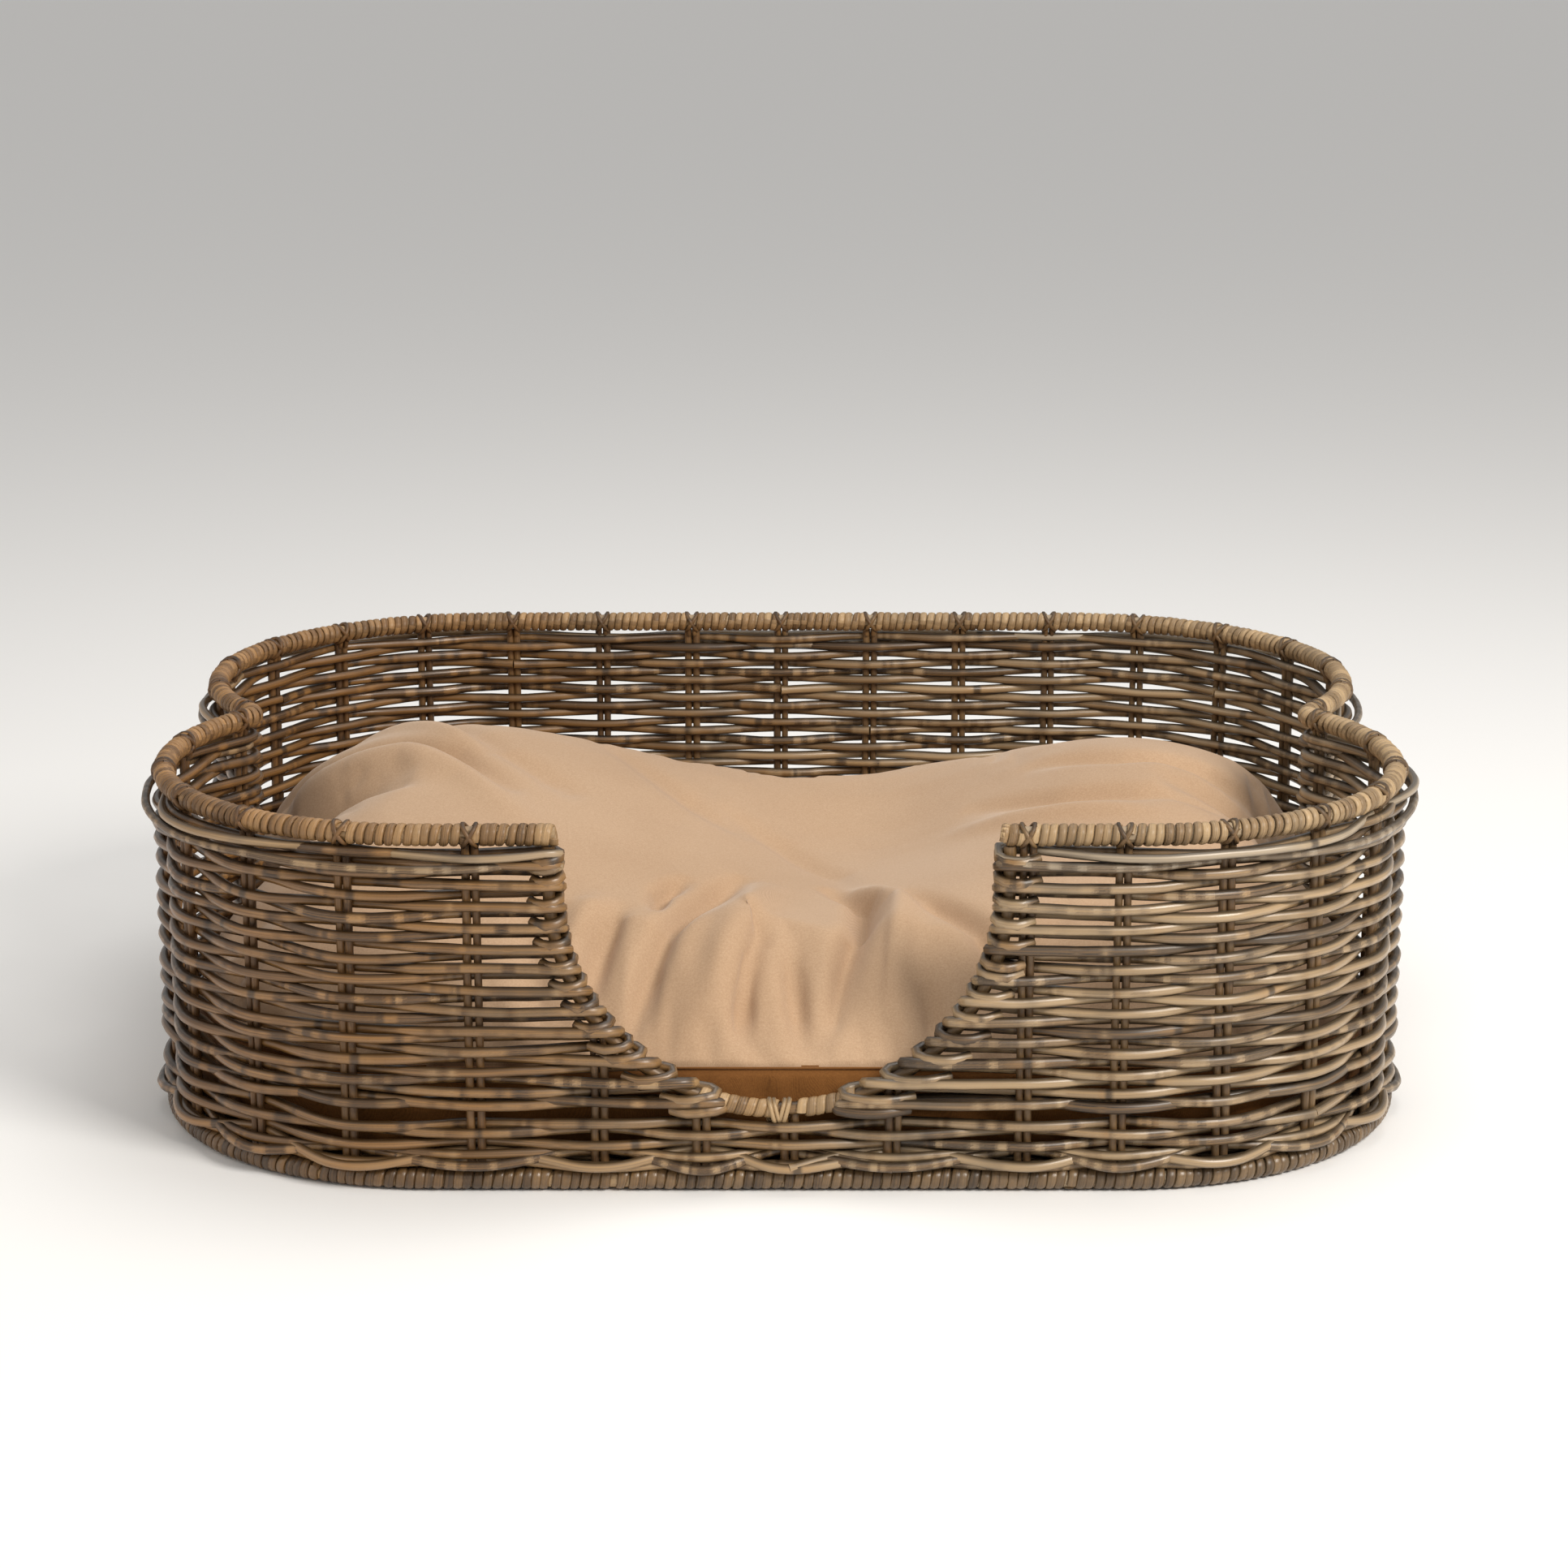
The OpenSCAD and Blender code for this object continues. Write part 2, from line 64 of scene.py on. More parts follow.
notch_half_run = notch_radius * math.atan2(lobe_y, notch_x - lobe_x)
quarter_run = lobe_x + lobe_run + notch_half_run
outline_run = 4 * quarter_run


def wall_point(run, offset=0.0, height=0.0):
    """The place of a point that is run along the outline from the front's middle, and offset outwards."""
    lap = run % outline_run
    index = int(lap / quarter_run)
    within = lap - index * quarter_run
    at = quarter_run - within if index % 2 else within
    turn = min(max(at - lobe_x, 0), lobe_run) / lobe_radius
    x = min(at, lobe_x) + (lobe_radius + offset) * math.sin(turn)
    y = -lobe_y - (lobe_radius + offset) * math.cos(turn)
    if at > lobe_x + lobe_run:
        turn = (quarter_run - at) / notch_radius
        x = notch_x - (notch_radius - offset) * math.cos(turn)
        y = -(notch_radius - offset) * math.sin(turn)
    return Vector((x if index < 2 else -x, y if index in (0, 3) else -y, height))


class Value:
    """A socket of a node tree. Arithmetic on it adds Math nodes to the tree."""

    def __init__(self, tree, socket):
        self.tree = tree
        self.socket = socket

    def of(self, name):
        return Value(self.tree, self.socket.node.outputs[name])

    def math(self, operation, *others):
        return self.tree.node("ShaderNodeMath", {"operation": operation}, [self, *others])

    def __add__(self, other):
        return self.math("ADD", other)

    def __sub__(self, other):
        return self.math("SUBTRACT", other)

    def __mul__(self, other):
        return self.math("MULTIPLY", other)

    def __truediv__(self, other):
        return self.math("DIVIDE", other)

    def __rsub__(self, other):
        return self.tree.node("ShaderNodeMath", {"operation": "SUBTRACT"}, [other, self])

    def __gt__(self, other):
        return self.math("GREATER_THAN", other)

    def __lt__(self, other):
        return self.math("LESS_THAN", other)

    def between(self, low, high):
        """0 at low and under, 1 at high and over, with a smooth rise."""
        settings = {"interpolation_type": "SMOOTHSTEP"}
        return self.tree.node("ShaderNodeMapRange", settings, [self, low, high])

    __radd__ = __add__
    __rmul__ = __mul__


class Tree:
    """A node tree being wired. node() adds a node, sets it up, then fills its sockets."""

    def __init__(self, tree):
        self.tree = tree

    def node(self, kind, settings, inputs, out=0):
        made = self.tree.nodes.new(kind)
        for name, value in settings.items():
            setattr(made, name, value)
        for name, value in inputs.items() if isinstance(inputs, dict) else enumerate(inputs):
            if isinstance(value, Value):
                self.tree.links.new(value.socket, made.inputs[name])
            else:
                made.inputs[name].default_value = value
        return Value(self, made.outputs[out]) if made.outputs else made

    def vector(self, operation, *inputs):
        return self.node("ShaderNodeVectorMath", {"operation": operation}, list(inputs))

    def scaled(self, vector, factor):
        inputs = {"Vector": vector, "Scale": factor}
        return self.node("ShaderNodeVectorMath", {"operation": "SCALE"}, inputs)

    def join(self, x, y, z):
        return self.node("ShaderNodeCombineXYZ", {}, [x, y, z])

    def split(self, vector):
        parts = self.node("ShaderNodeSeparateXYZ", {}, [vector])
        return parts, parts.of("Y"), parts.of("Z")

    def noise(self, vector, scale, detail=2.0, roughness=0.5):
        return self.node("ShaderNodeTexNoise", {}, {
            "Vector": vector, "Scale": scale, "Detail": detail, "Roughness": roughness})

    def mix(self, factor, a, b, blend="MIX"):
        settings = {"data_type": "RGBA", "blend_type": blend}
        return self.node("ShaderNodeMix", settings, {0: factor, 6: a, 7: b}, out=2)


class Grower(Tree):
    """A Geometry Nodes tree with a named input for each size, run on a base mesh by grow()."""

    def __init__(self, name, **sizes):
        group = bpy.data.node_groups.new(name, "GeometryNodeTree")
        super().__init__(group)
        group.interface.new_socket("Geometry", in_out="OUTPUT", socket_type="NodeSocketGeometry")
        group.interface.new_socket("Geometry", in_out="INPUT", socket_type="NodeSocketGeometry")
        group.interface.new_socket("Material", in_out="INPUT", socket_type="NodeSocketMaterial")
        for label, value in sizes.items():
            socket = group.interface.new_socket(label, in_out="INPUT", socket_type="NodeSocketFloat")
            socket.default_value = value
        entry = group.nodes.new("NodeGroupInput")
        self.given = {s.name: Value(self, s) for s in entry.outputs if s.name}

    def attribute(self, name, data_type="FLOAT"):
        return self.node("GeometryNodeInputNamedAttribute", {"data_type": data_type}, [name])

    def store(self, geometry, name, value, data_type="FLOAT"):
        settings = {"data_type": data_type, "domain": "POINT"}
        inputs = {"Geometry": geometry, "Name": name, "Value": value}
        return self.node("GeometryNodeStoreNamedAttribute", settings, inputs)

    def moved(self, geometry, **place):
        return self.node("GeometryNodeSetPosition", {}, {"Geometry": geometry, **place})

    def finish(self, geometry):
        whole = self.node("GeometryNodeRealizeInstances", {}, [geometry])
        shown = self.node("GeometryNodeSetMaterial", {}, {
            "Geometry": whole, "Material": self.given["Material"]})
        smooth = self.node("GeometryNodeSetShadeSmooth", {}, {"Geometry": shown})
        exit_node = self.tree.nodes.new("NodeGroupOutput")
        self.tree.links.new(smooth.socket, exit_node.inputs["Geometry"])

    def grow(self, name, mesh, material, **sizes):
        base = bpy.data.objects.new(name, mesh)
        bpy.context.collection.objects.link(base)
        changer = base.modifiers.new("grow", "NODES")
        changer.node_group = self.tree
        for item in self.tree.interface.items_tree:
            if item.in_out == "INPUT" and item.name in sizes:
                changer[item.identifier] = sizes[item.name]
            if item.in_out == "INPUT" and item.name == "Material":
                changer[item.identifier] = material
        evaluated = base.evaluated_get(bpy.context.evaluated_depsgraph_get())
        grown = bpy.data.meshes.new_from_object(evaluated)
        base.modifiers.clear()
        base.data = grown
        bpy.data.meshes.remove(mesh)
        return base


def bend_round_outline(tree, flat):
    """Nodes that carry (run, offset outwards, height) on to the outline, as wall_point does."""
    run, offset, height = tree.split(flat)
    lap = (run / outline_run).math("FRACT") * outline_run
    index = (lap / quarter_run).math("FLOOR")
    within = lap - index * quarter_run
    odd = index.math("MODULO", 2.0)
    at = within + odd * (quarter_run - within * 2)
    turn = (at - lobe_x).math("MAXIMUM", 0.0).math("MINIMUM", lobe_run) / lobe_radius
    reach = offset + lobe_radius
    x = at.math("MINIMUM", lobe_x) + reach * turn.math("SINE")
    y = -lobe_y - reach * turn.math("COSINE")
    notch_turn = (quarter_run - at) / notch_radius
    in_notch = at > lobe_x + lobe_run
    x = x + in_notch * (notch_x - (notch_radius - offset) * notch_turn.math("COSINE") - x)
    y = y + in_notch * ((offset - notch_radius) * notch_turn.math("SINE") - y)
    far_side = index > 1.5
    back = (index > 0.5) * (index < 2.5)
    return tree.join(x - far_side * x * 2, y - back * y * 2, height)


def thread_mesh(name, threads):
    """A mesh of polylines. A thread is its points, and the number and radius that its rod takes."""
    mesh = bpy.data.meshes.new(name)
    points, edges, numbers, radii = [], [], [], []
    for number, (path, radius) in enumerate(threads):
        first = len(points)
        points += path
        edges += [(i, i + 1) for i in range(first, first + len(path) - 1)]
        numbers += [float(number)] * len(path)
        radii += [radius] * len(path)
    mesh.from_pydata(points, edges, [])
    mesh.attributes.new("number", "FLOAT", "POINT").data.foreach_set("value", numbers)
    mesh.attributes.new("radius", "FLOAT", "POINT").data.foreach_set("value", radii)
    return mesh


def peel_wrap_tree():
    """Split peel wound round each path of the base mesh, with uneven pitch, width and tightness."""
    tree = Grower(
        "peel_wrap", Pitch=0.006, Pole=0.0055, Peel=0.0016, Width=0.0055, Unevenness=0.15, Turns=14.0)
    given = tree.given
    curve = tree.node("GeometryNodeMeshToCurve", {}, [given["Geometry"]])
    curve = tree.node("GeometryNodeResampleCurve", {"mode": "LENGTH"}, {
        "Curve": curve, "Length": given["Pitch"] / given["Turns"]})
    length = tree.node("GeometryNodeSplineParameter", {}, []).of("Length")
    number = tree.attribute("number")
    drift = tree.noise(tree.join(length * 45, number * 5.3, 0.0), 1.0) - 0.5
    turns = length / given["Pitch"] + drift * given["Unevenness"] * 5
    angle = turns * (2 * math.pi)
    tangent = tree.node("GeometryNodeInputTangent", {}, [])
    side = (0.0, 1.0, 0.0)
    across = tree.vector("CROSS_PRODUCT", tangent, side)
    radial = tree.vector(
        "ADD", tree.scaled(side, angle.math("COSINE")), tree.scaled(across, angle.math("SINE")))
    lumps = tree.noise(tree.join(turns * 2.3, number * 7.9, 3.0), 1.0) - 0.5
    distance = given["Pole"] + given["Peel"] * (0.5 + lumps * given["Unevenness"] * 3)
    curve = tree.store(curve, "turn", (turns + 0.5).math("FLOOR") + number * 37)
    curve = tree.store(curve, "along", length * 8)
    slip = tree.noise(tree.join(turns * 0.9, number * 3.1, 9.0), 1.0) - 0.5
    offset = tree.vector("ADD", tree.scaled(radial, distance), tree.scaled(
        tangent, slip * given["Unevenness"] * given["Pitch"] * 3))
    curve = tree.node("GeometryNodeSetCurveNormal", {"mode": "FREE"}, {"Curve": curve, "Normal": radial})
    curve = tree.moved(curve, Offset=offset)
    circle = tree.node("GeometryNodeCurvePrimitiveCircle", {"mode": "RADIUS"}, {
        "Resolution": 8, "Radius": 1.0})
    at = tree.node("GeometryNodeInputPosition", {}, [])
    x, y, _ = tree.split(at)
    circle = tree.store(circle, "section", at, "FLOAT_VECTOR")
    circle = tree.moved(circle, Position=tree.join(
        x * given["Peel"] * 0.62, y * given["Width"] * 0.52, 0.0))
    wide = 1 + (tree.noise(tree.join(turns * 0.7, number * 11.3, 6.0), 1.0) - 0.5) * given["Unevenness"] * 3
    mesh = tree.node("GeometryNodeCurveToMesh", {}, {
        "Curve": curve, "Profile Curve": circle, "Scale": wide, "Fill Caps": True})
    place = tree.node("GeometryNodeInputPosition", {}, [])
    tree.finish(tree.moved(mesh, Position=bend_round_outline(tree, place)))
    return tree


def linear(red, green, blue):
    """A colour given as it looks on a screen, 0 to 255, as the shaders want it."""
    shares = (red / 255, green / 255, blue / 255)
    return tuple(c / 12.92 if c <= 0.04045 else ((c + 0.055) / 1.055) ** 2.4 for c in shares)


def blank_material(name):
    """A material with an empty node tree, that tree, and the place on the piece in metres."""
    material = bpy.data.materials.new(name)
    material.use_nodes = True
    material.node_tree.nodes.clear()
    tree = Tree(material.node_tree)
    return material, tree, tree.node("ShaderNodeTexCoord", {}, []).of("Object")


def rattan(name, light, dark, grey, gloss=0.25, key="number", rings=True):
    """Rattan: grain that runs along each rod or turn of peel, a tone of its own, grey weathering in
    patches, and painted light and shade: greyer and lighter to the right, darker to the left and where rods
    meet.
    """
    material, tree, place = blank_material(name)
    number = tree.node("ShaderNodeAttribute", {"attribute_name": key}, []).of("Fac")
    along = tree.node("ShaderNodeAttribute", {"attribute_name": "along"}, []).of("Fac")
    section = tree.node("ShaderNodeAttribute", {"attribute_name": "section"}, []).of("Vector")
    around_x, around_y, _ = tree.split(section)
    tone = tree.node("ShaderNodeTexWhiteNoise", {"noise_dimensions": "1D"}, {"W": number * 1.37 + 0.5})
    shift = tone * 31.0
    fibre = tree.join(around_x * 4.5, around_y * 4.5, along * 6 + shift)
    grain = tree.noise(fibre, 1.0, 2.0, 0.6)
    fine = tree.noise(tree.join(around_x * 12, around_y * 12, along * 16 + shift), 1.0, 2.0, 0.5)
    patch = tree.noise(place, 17.0, 3.0, 0.6)
    soft = tree.noise(tree.join(around_x * 0.6, around_y * 0.6, along * 5 + shift), 1.0, 2.0)
    amount = (grain.between(0.3, 0.72) * 0.4 + fine * 0.25 + tone * 0.62 + soft * 0.35) - 0.3
    color = tree.mix(amount, (*dark, 1), (*light, 1))
    x, _, _ = tree.split(place)
    # Partly real grey weathering in random patches, partly painted light: the greying grows towards the
    # right, so that side looks lit.
    weathering_and_lit_right = (x * 1.3 + patch * 1.1 + tone * 0.9).between(0.55, 1.7)
    color = tree.mix(weathering_and_lit_right * 0.75, color, tree.mix(amount, (*[c * 0.35 for c in grey], 1), (*grey, 1)))
    # Painted shade: the left side is darkened and yellowed, as if turned away from the light.
    color = tree.mix((0.1 - x).between(0.0, 0.55) * 0.5, color, (0.86, 0.68, 0.48, 1), "MULTIPLY")
    height = grain * 0.55 + fine * 0.45
    if rings:
        beat = (along * 2.3 + tone * 5.0).math("FRACT")
        ring = (beat - 0.5).math("ABSOLUTE")
        mark = 1 - ring.between(0.003, 0.011)
        pale = (1 - ring.between(0.012, 0.05)) * 0.3
        color = tree.mix(pale, color, (*light, 1))
        color = tree.mix(mark * 0.75, color, (*[c * 0.35 for c in dark], 1))
        height = height + (1 - ring.between(0.0, 0.02)) * 0.6
    dirt = patch.between(0.5, 0.75) * 0.45
    color = tree.mix(dirt, color, (*[c * 0.55 for c in dark], 1))
    # Painted shade: the upper and lower faces of each rod, where it meets the rows beside it, are darkened
    # almost to black.
    crevice_painted_shade = tree.node("ShaderNodeAttribute", {"attribute_name": "crevice_painted_shade"}, []).of("Fac")
    color = tree.mix(crevice_painted_shade.between(0.35, 0.98) * 0.8, color, (*[c * 0.12 for c in dark], 1))
    bump = tree.node("ShaderNodeBump", {}, {"Strength": 0.5, "Distance": 0.0005, "Height": height})
    rough = 0.66 - amount * gloss * 0.6 - gloss * 0.35 + patch * 0.12
    shader = tree.node("ShaderNodeBsdfPrincipled", {}, {
        "Base Color": color, "Roughness": rough, "Normal": bump, "Specular IOR Level": 0.5,
        "Coat Weight": gloss * 0.7, "Coat Roughness": 0.28})
    tree.node("ShaderNodeOutputMaterial", {}, [shader])
    return material


peel = rattan(
    "rattan_peel", linear(184, 144, 94), linear(58, 38, 18), linear(196, 168, 128), key="turn", rings=False)
hoop_peel = rattan(
    "hoop_peel", linear(140, 108, 68), linear(40, 26, 12), linear(130, 106, 76), gloss=0.5, key="turn",
    rings=False)
bare_pole = rattan(
    "rattan_pole", linear(190, 154, 104), linear(128, 96, 58), linear(170, 152, 126), rings=False)
peel_wrap = peel_wrap_tree()
hoop_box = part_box("base_hoop_wrap")
hoop_z = (hoop_box[0].z + hoop_box[1].z) / 2
hoop_pole = (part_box("base_hoop")[1].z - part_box("base_hoop")[0].z) / 2
wrap_seed = random.Random(4)


def broken_runs(start, stop, longest, gap):
    """Stretches of run of uneven length between start and stop, each one length of peel."""
    runs = []
    while start < stop - longest / 3:
        end = min(stop, start + longest * wrap_seed.uniform(0.55, 1.0))
        runs.append((start, end))
        start = end + gap
    return runs


hoop_paths = [
    ([(a, 0.0, hoop_z + 0.6 * MM), (b, 0.0, hoop_z + 0.6 * MM)], hoop_pole)
    for a, b in broken_runs(0.0, outline_run, 0.30, 0.001)]
base_binding = peel_wrap.grow(
    "base_binding", thread_mesh("base_binding", hoop_paths), hoop_peel,
    Pole=hoop_pole, Pitch=0.0066, Width=0.0064, Peel=0.0019, Unevenness=0.2)
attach(base_binding, "basket")
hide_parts("base_hoop_wrap")


def finish_node(node, material):
    """Gives a CAD piece that stays its material."""
    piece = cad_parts[node]
    piece.data.materials.clear()
    piece.data.materials.append(material)


finish_node("base_hoop", bare_pole)

# ---- Stakes --------------------------------------------------------------------------------
# Upright pairs of thin rattan rods. They are pushed into the base hoop, stand round the whole
# outline and end under the rim, or under the rail where the scoop is.
stake_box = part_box("back_stakes")
wall_top = stake_box[1].z
wall_foot = stake_box[0].z
rim_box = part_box("rim_wrap")
rim_z = (rim_box[0].z + rim_box[1].z) / 2
stake_radius = weave_in - 0.3 * MM
pair_gap = 6.3 * MM
stake_pitch = 77 * MM
notch_flank = notch_half_run + 8 * MM
front_pairs = [x * MM for x in (-291, -205, -121, -53, 7, 77, 165, 229, 299)]


def front_run(x):
    """The run of a front stake pair, from its place across the basket."""
    if abs(x) <= lobe_x:
        return x
    return math.copysign(lobe_x + math.asin((abs(x) - lobe_x) / lobe_radius) * lobe_radius, x)


def spread(start, stop):
    gaps = math.ceil((stop - start) / stake_pitch - 1e-6)
    return [start + i * (stop - start) / gaps for i in range(gaps + 1)]


half_run = 2 * quarter_run
right_notch, left_notch = quarter_run, quarter_run + half_run
side_runs = (
    spread(front_run(front_pairs[-1]), right_notch - notch_flank)[1:]
    + spread(right_notch + notch_flank, left_notch - notch_flank)
    + spread(left_notch + notch_flank, outline_run + front_run(front_pairs[0]))[:-1])
pair_runs = [front_run(x) for x in front_pairs] + side_runs

rail_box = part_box("scoop_rail")
rail_radius = (rail_box[1].y - rail_box[0].y) / 2
scoop_radius = rail_box[1].x - rail_radius
sill_z = rail_box[0].z + rail_radius
scoop_z = sill_z + scoop_radius


def rod_tree():
    """Round rods along the base mesh's paths, with a wandering line and an uneven thickness."""
    tree = Grower("rattan_rods", Step=0.006, Wander=0.0012, Unevenness=0.12, Sides=8.0, Bend=1.0)
    given = tree.given
    curve = tree.node("GeometryNodeMeshToCurve", {}, [given["Geometry"]])
    curve = tree.node("GeometryNodeCurveSplineType", {"spline_type": "CATMULL_ROM"}, [curve])
    curve = tree.node("GeometryNodeResampleCurve", {"mode": "LENGTH"}, {
        "Curve": curve, "Length": given["Step"]})
    length = tree.node("GeometryNodeSplineParameter", {}, []).of("Length")
    curve = tree.store(curve, "along", length)
    number = tree.attribute("number")
    seed = tree.join(number * 7.31, number * 3.77, number * 1.93)
    place = tree.node("GeometryNodeInputPosition", {}, [])
    coarse = tree.noise(tree.vector("ADD", tree.scaled(place, 16.0), seed), 1.0).of("Color")
    drift = tree.scaled(tree.vector("SUBTRACT", coarse, (0.5, 0.5, 0.5)), given["Wander"] * 2)
    curve = tree.moved(curve, Offset=drift)
    swell = tree.noise(tree.vector("ADD", tree.join(length * 30, 0.0, 0.0), seed), 1.0) - 0.5
    radius = tree.attribute("radius") * (1 + swell * given["Unevenness"] * 2)
    circle = tree.node("GeometryNodeCurvePrimitiveCircle", {"mode": "RADIUS"}, {
        "Resolution": given["Sides"], "Radius": 1.0})
    circle = tree.store(circle, "section", tree.node("GeometryNodeInputPosition", {}, []), "FLOAT_VECTOR")
    mesh = tree.node("GeometryNodeCurveToMesh", {}, {
        "Curve": curve, "Profile Curve": circle, "Scale": radius, "Fill Caps": True})
    _, _, facing = tree.split(tree.node("GeometryNodeInputNormal", {}, []))
    # Kept for painted shade: how squarely the surface faces up or down, which the rattan material darkens.
    mesh = tree.store(mesh, "crevice_painted_shade", facing.math("ABSOLUTE"))
    place = tree.node("GeometryNodeInputPosition", {}, [])
    bent = tree.vector("SUBTRACT", bend_round_outline(tree, place), place)
    tree.finish(tree.moved(mesh, Offset=tree.scaled(bent, given["Bend"])))
    return tree


def scoop_edge(x):
    """Height of the middle of the scoop's rail at a distance x from its middle."""
    return scoop_z - math.sqrt(max(scoop_radius**2 - x * x, 0))


rods = rod_tree()
stake_rattan = rattan("rattan_stake", linear(140, 102, 56), linear(52, 33, 15), linear(126, 100, 66))
stake_seed = random.Random(11)
stake_paths = []
for run in pair_runs:
    for side in (-0.5, 0.5):
        at = run + side * pair_gap
        under_scoop = abs(at) < scoop_radius
        top = scoop_edge(at) - rail_radius + 1 * MM if under_scoop else wall_top + 3 * MM
        lean = [stake_seed.uniform(-0.6, 0.6) * MM for _ in range(4)]
        heights = [hoop_z + 4 * MM, wall_foot + 20 * MM, (wall_foot + top) / 2, top]
        path = [(at + d, 0.3 * d, z) for d, z in zip(lean, heights)]
        stake_paths.append((path, stake_radius * stake_seed.uniform(0.92, 1.06)))
stakes = rods.grow("stakes", thread_mesh("stakes", stake_paths), stake_rattan, Wander=0.0004, Step=0.009)
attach(stakes, "basket")
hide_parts("front_stakes", "right_stakes", "back_stakes", "left_stakes")

# ---- Wall weave ----------------------------------------------------------------------------
# Whole rattan weavers in plain weave: each goes in front of one stake pair and behind the next,
# and the row above does the opposite. Above the sill the rows turn back round the scoop's rail.
weaver_radius = (weave_out - weave_in) / 2
row_pitch = 7.25 * MM
weave_amplitude = stake_radius + 0.75 * weaver_radius
weave_seed = random.Random(23)
sill_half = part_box("sill_wrap")[1].x


def side_of(index, row):
    return 1 if (index + row) % 2 == 0 else -1


def pairs_between(start, stop):
    """(index, run) of the stake pairs between two runs, which may pass the front's middle."""
    found = []
    for lap in (-1, 0, 1, 2):
        for index, run in enumerate(pair_runs):
            if start < run + lap * outline_run < stop:
                found.append((index, run + lap * outline_run))
    return sorted(found, key=lambda pair: pair[1])


def looseness(run):
    """Rows lie less evenly on the left of the front than on its right or at the back."""
    place = wall_point(run)
    return 0.5 if place.y > 0 else 1.15 - 0.45 * place.x / lobe_x


def weave_points(row, z, start, stop):
    """Points of a weaver from one run to another, tight against each stake pair that it passes."""
    points = []
    for index, run in pairs_between(start, stop):
        lift = weave_seed.uniform(-1, 1) * 1.5 * MM * looseness(run)
        y = side_of(index, row) * weave_amplitude
        points.append((run, y, z + lift))
    return points


def rail_turn(row, z, direction):
    """The end of a weaver: it comes to the scoop's rail, goes round it and is tucked back beside itself."""
    slope = max((scoop_z - z) / scoop_radius, 0)
    across = max(sill_half, math.sqrt(max(scoop_radius**2 - max(scoop_z - z, 0) ** 2, 0)))
    stretch = min(1 / math.sqrt(max(1 - slope * slope, 0.2)), 2.0)
    ring = (rail_radius + weaver_radius) * stretch
    clear = across + (19 if direction > 0 else 9) * stretch * MM
    first = pairs_between(clear, clear + 0.12) if direction > 0 else pairs_between(-clear - 0.12, -clear)
    side = side_of(first[0 if direction > 0 else -1][0], row)
    depth = rail_radius + weaver_radius
    tail = (17 if direction > 0 else 10) * stretch * MM + turn_seed.uniform(-1, 3) * MM
    drop = 3.2 * MM
    path = [
        (across + tail, -side * depth * 0.2, z - drop * 0.7),
        (across + tail * 0.5, -side * depth, z - drop),
        (across, -side * depth, z - drop * 0.9),
        (across - ring * 0.78, -side * depth * 0.62, z - drop * 0.6),
        (across - ring, 0.0, z - drop * 0.1), (across - ring * 0.78, side * depth * 0.62, z + drop * 0.4),
        (across, side * depth, z + drop * 0.6), (across + tail * 0.4, side * depth, z + drop * 0.5)]
    if direction < 0:
        path = [(-x, y, height) for x, y, height in reversed(path)]
    return path, clear


turn_seed = random.Random(77)
row_paths = []
splice = 0.6 * stake_pitch
rows = int((wall_top - wall_foot - 2 * weaver_radius) / row_pitch) + 1
clear_z = sill_z - rail_radius - weaver_radius - 2 * MM
for row in range(rows):
    z = wall_foot + weaver_radius + row * row_pitch
    thick = weaver_radius * weave_seed.uniform(1.05, 1.2)
    if z < clear_z:
        start = weave_seed.choice(pair_runs)
        middle = start + weave_seed.uniform(0.35, 0.65) * outline_run
        ends = [(start - splice, middle + splice), (middle - splice, start + outline_run + splice)]
        for begin, finish in ends:
            row_paths.append((row, weave_points(row, z, begin, finish), thick))
    else:
        z = max(z, sill_z + 3 * MM)
        opening, clear_right = rail_turn(row, z, 1)
        closing, clear_left = rail_turn(row, z, -1)
        end = outline_run - clear_left
        middle = weave_seed.uniform(0.3, 0.7) * outline_run
        closing = [(x + outline_run, y, height) for x, y, height in closing]
        row_paths.append((row, opening + weave_points(row, z, clear_right, middle + splice), thick))
        row_paths.append((row, weave_points(row, z + 1 * MM, middle - splice, end) + closing,
                          thick * weave_seed.uniform(0.96, 1.04)))

weaver_rattan = rattan(
    "rattan_weaver", linear(164, 122, 70), linear(34, 21, 9), linear(182, 158, 124), gloss=0.5)
wall_nodes = [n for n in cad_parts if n.startswith(("outer_weave", "inner_weave"))]
band_rows = math.ceil(rows / 4)
for band, name in enumerate(("weave_foot", "weave_lower", "weave_upper", "weave_head")):
    paths = [(path, thick) for row, path, thick in row_paths if row // band_rows == band and len(path) > 1]
    weave = rods.grow(name, thread_mesh(name, paths), weaver_rattan, Wander=0.0012, Step=0.0062)
    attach(weave, "basket")
    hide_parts(*wall_nodes)

# ---- Wales ---------------------------------------------------------------------------------
# Heavier strands laid on the outside. At the foot two twine round each other and the stakes;
# under the rim long ones run in front of the weave from one end of the scoop to the other.
foot_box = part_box("bottom_wale")
foot_z = (foot_box[0].z + foot_box[1].z) / 2
foot_radius = 3.7 * MM
foot_seed = random.Random(17)
foot_paths = []
for strand in (0, 1):
    path = []
    for index, run in pairs_between(-1 * MM, outline_run + 90 * MM):
        outside = (index + strand) % 2 == 0
        y = weave_out + 0.4 * MM if outside else -weave_amplitude * 0.9
        z = foot_z - 3.5 * MM if outside else foot_z + 4.5 * MM
        sway = foot_seed.uniform(-1, 1) * MM
        path.append((run, y, z + sway))
    foot_paths.append((path, foot_radius))
foot_wale = rods.grow("foot_wale", thread_mesh("foot_wale", foot_paths), weaver_rattan, Step=0.005)
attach(foot_wale, "basket")
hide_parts("bottom_wale")

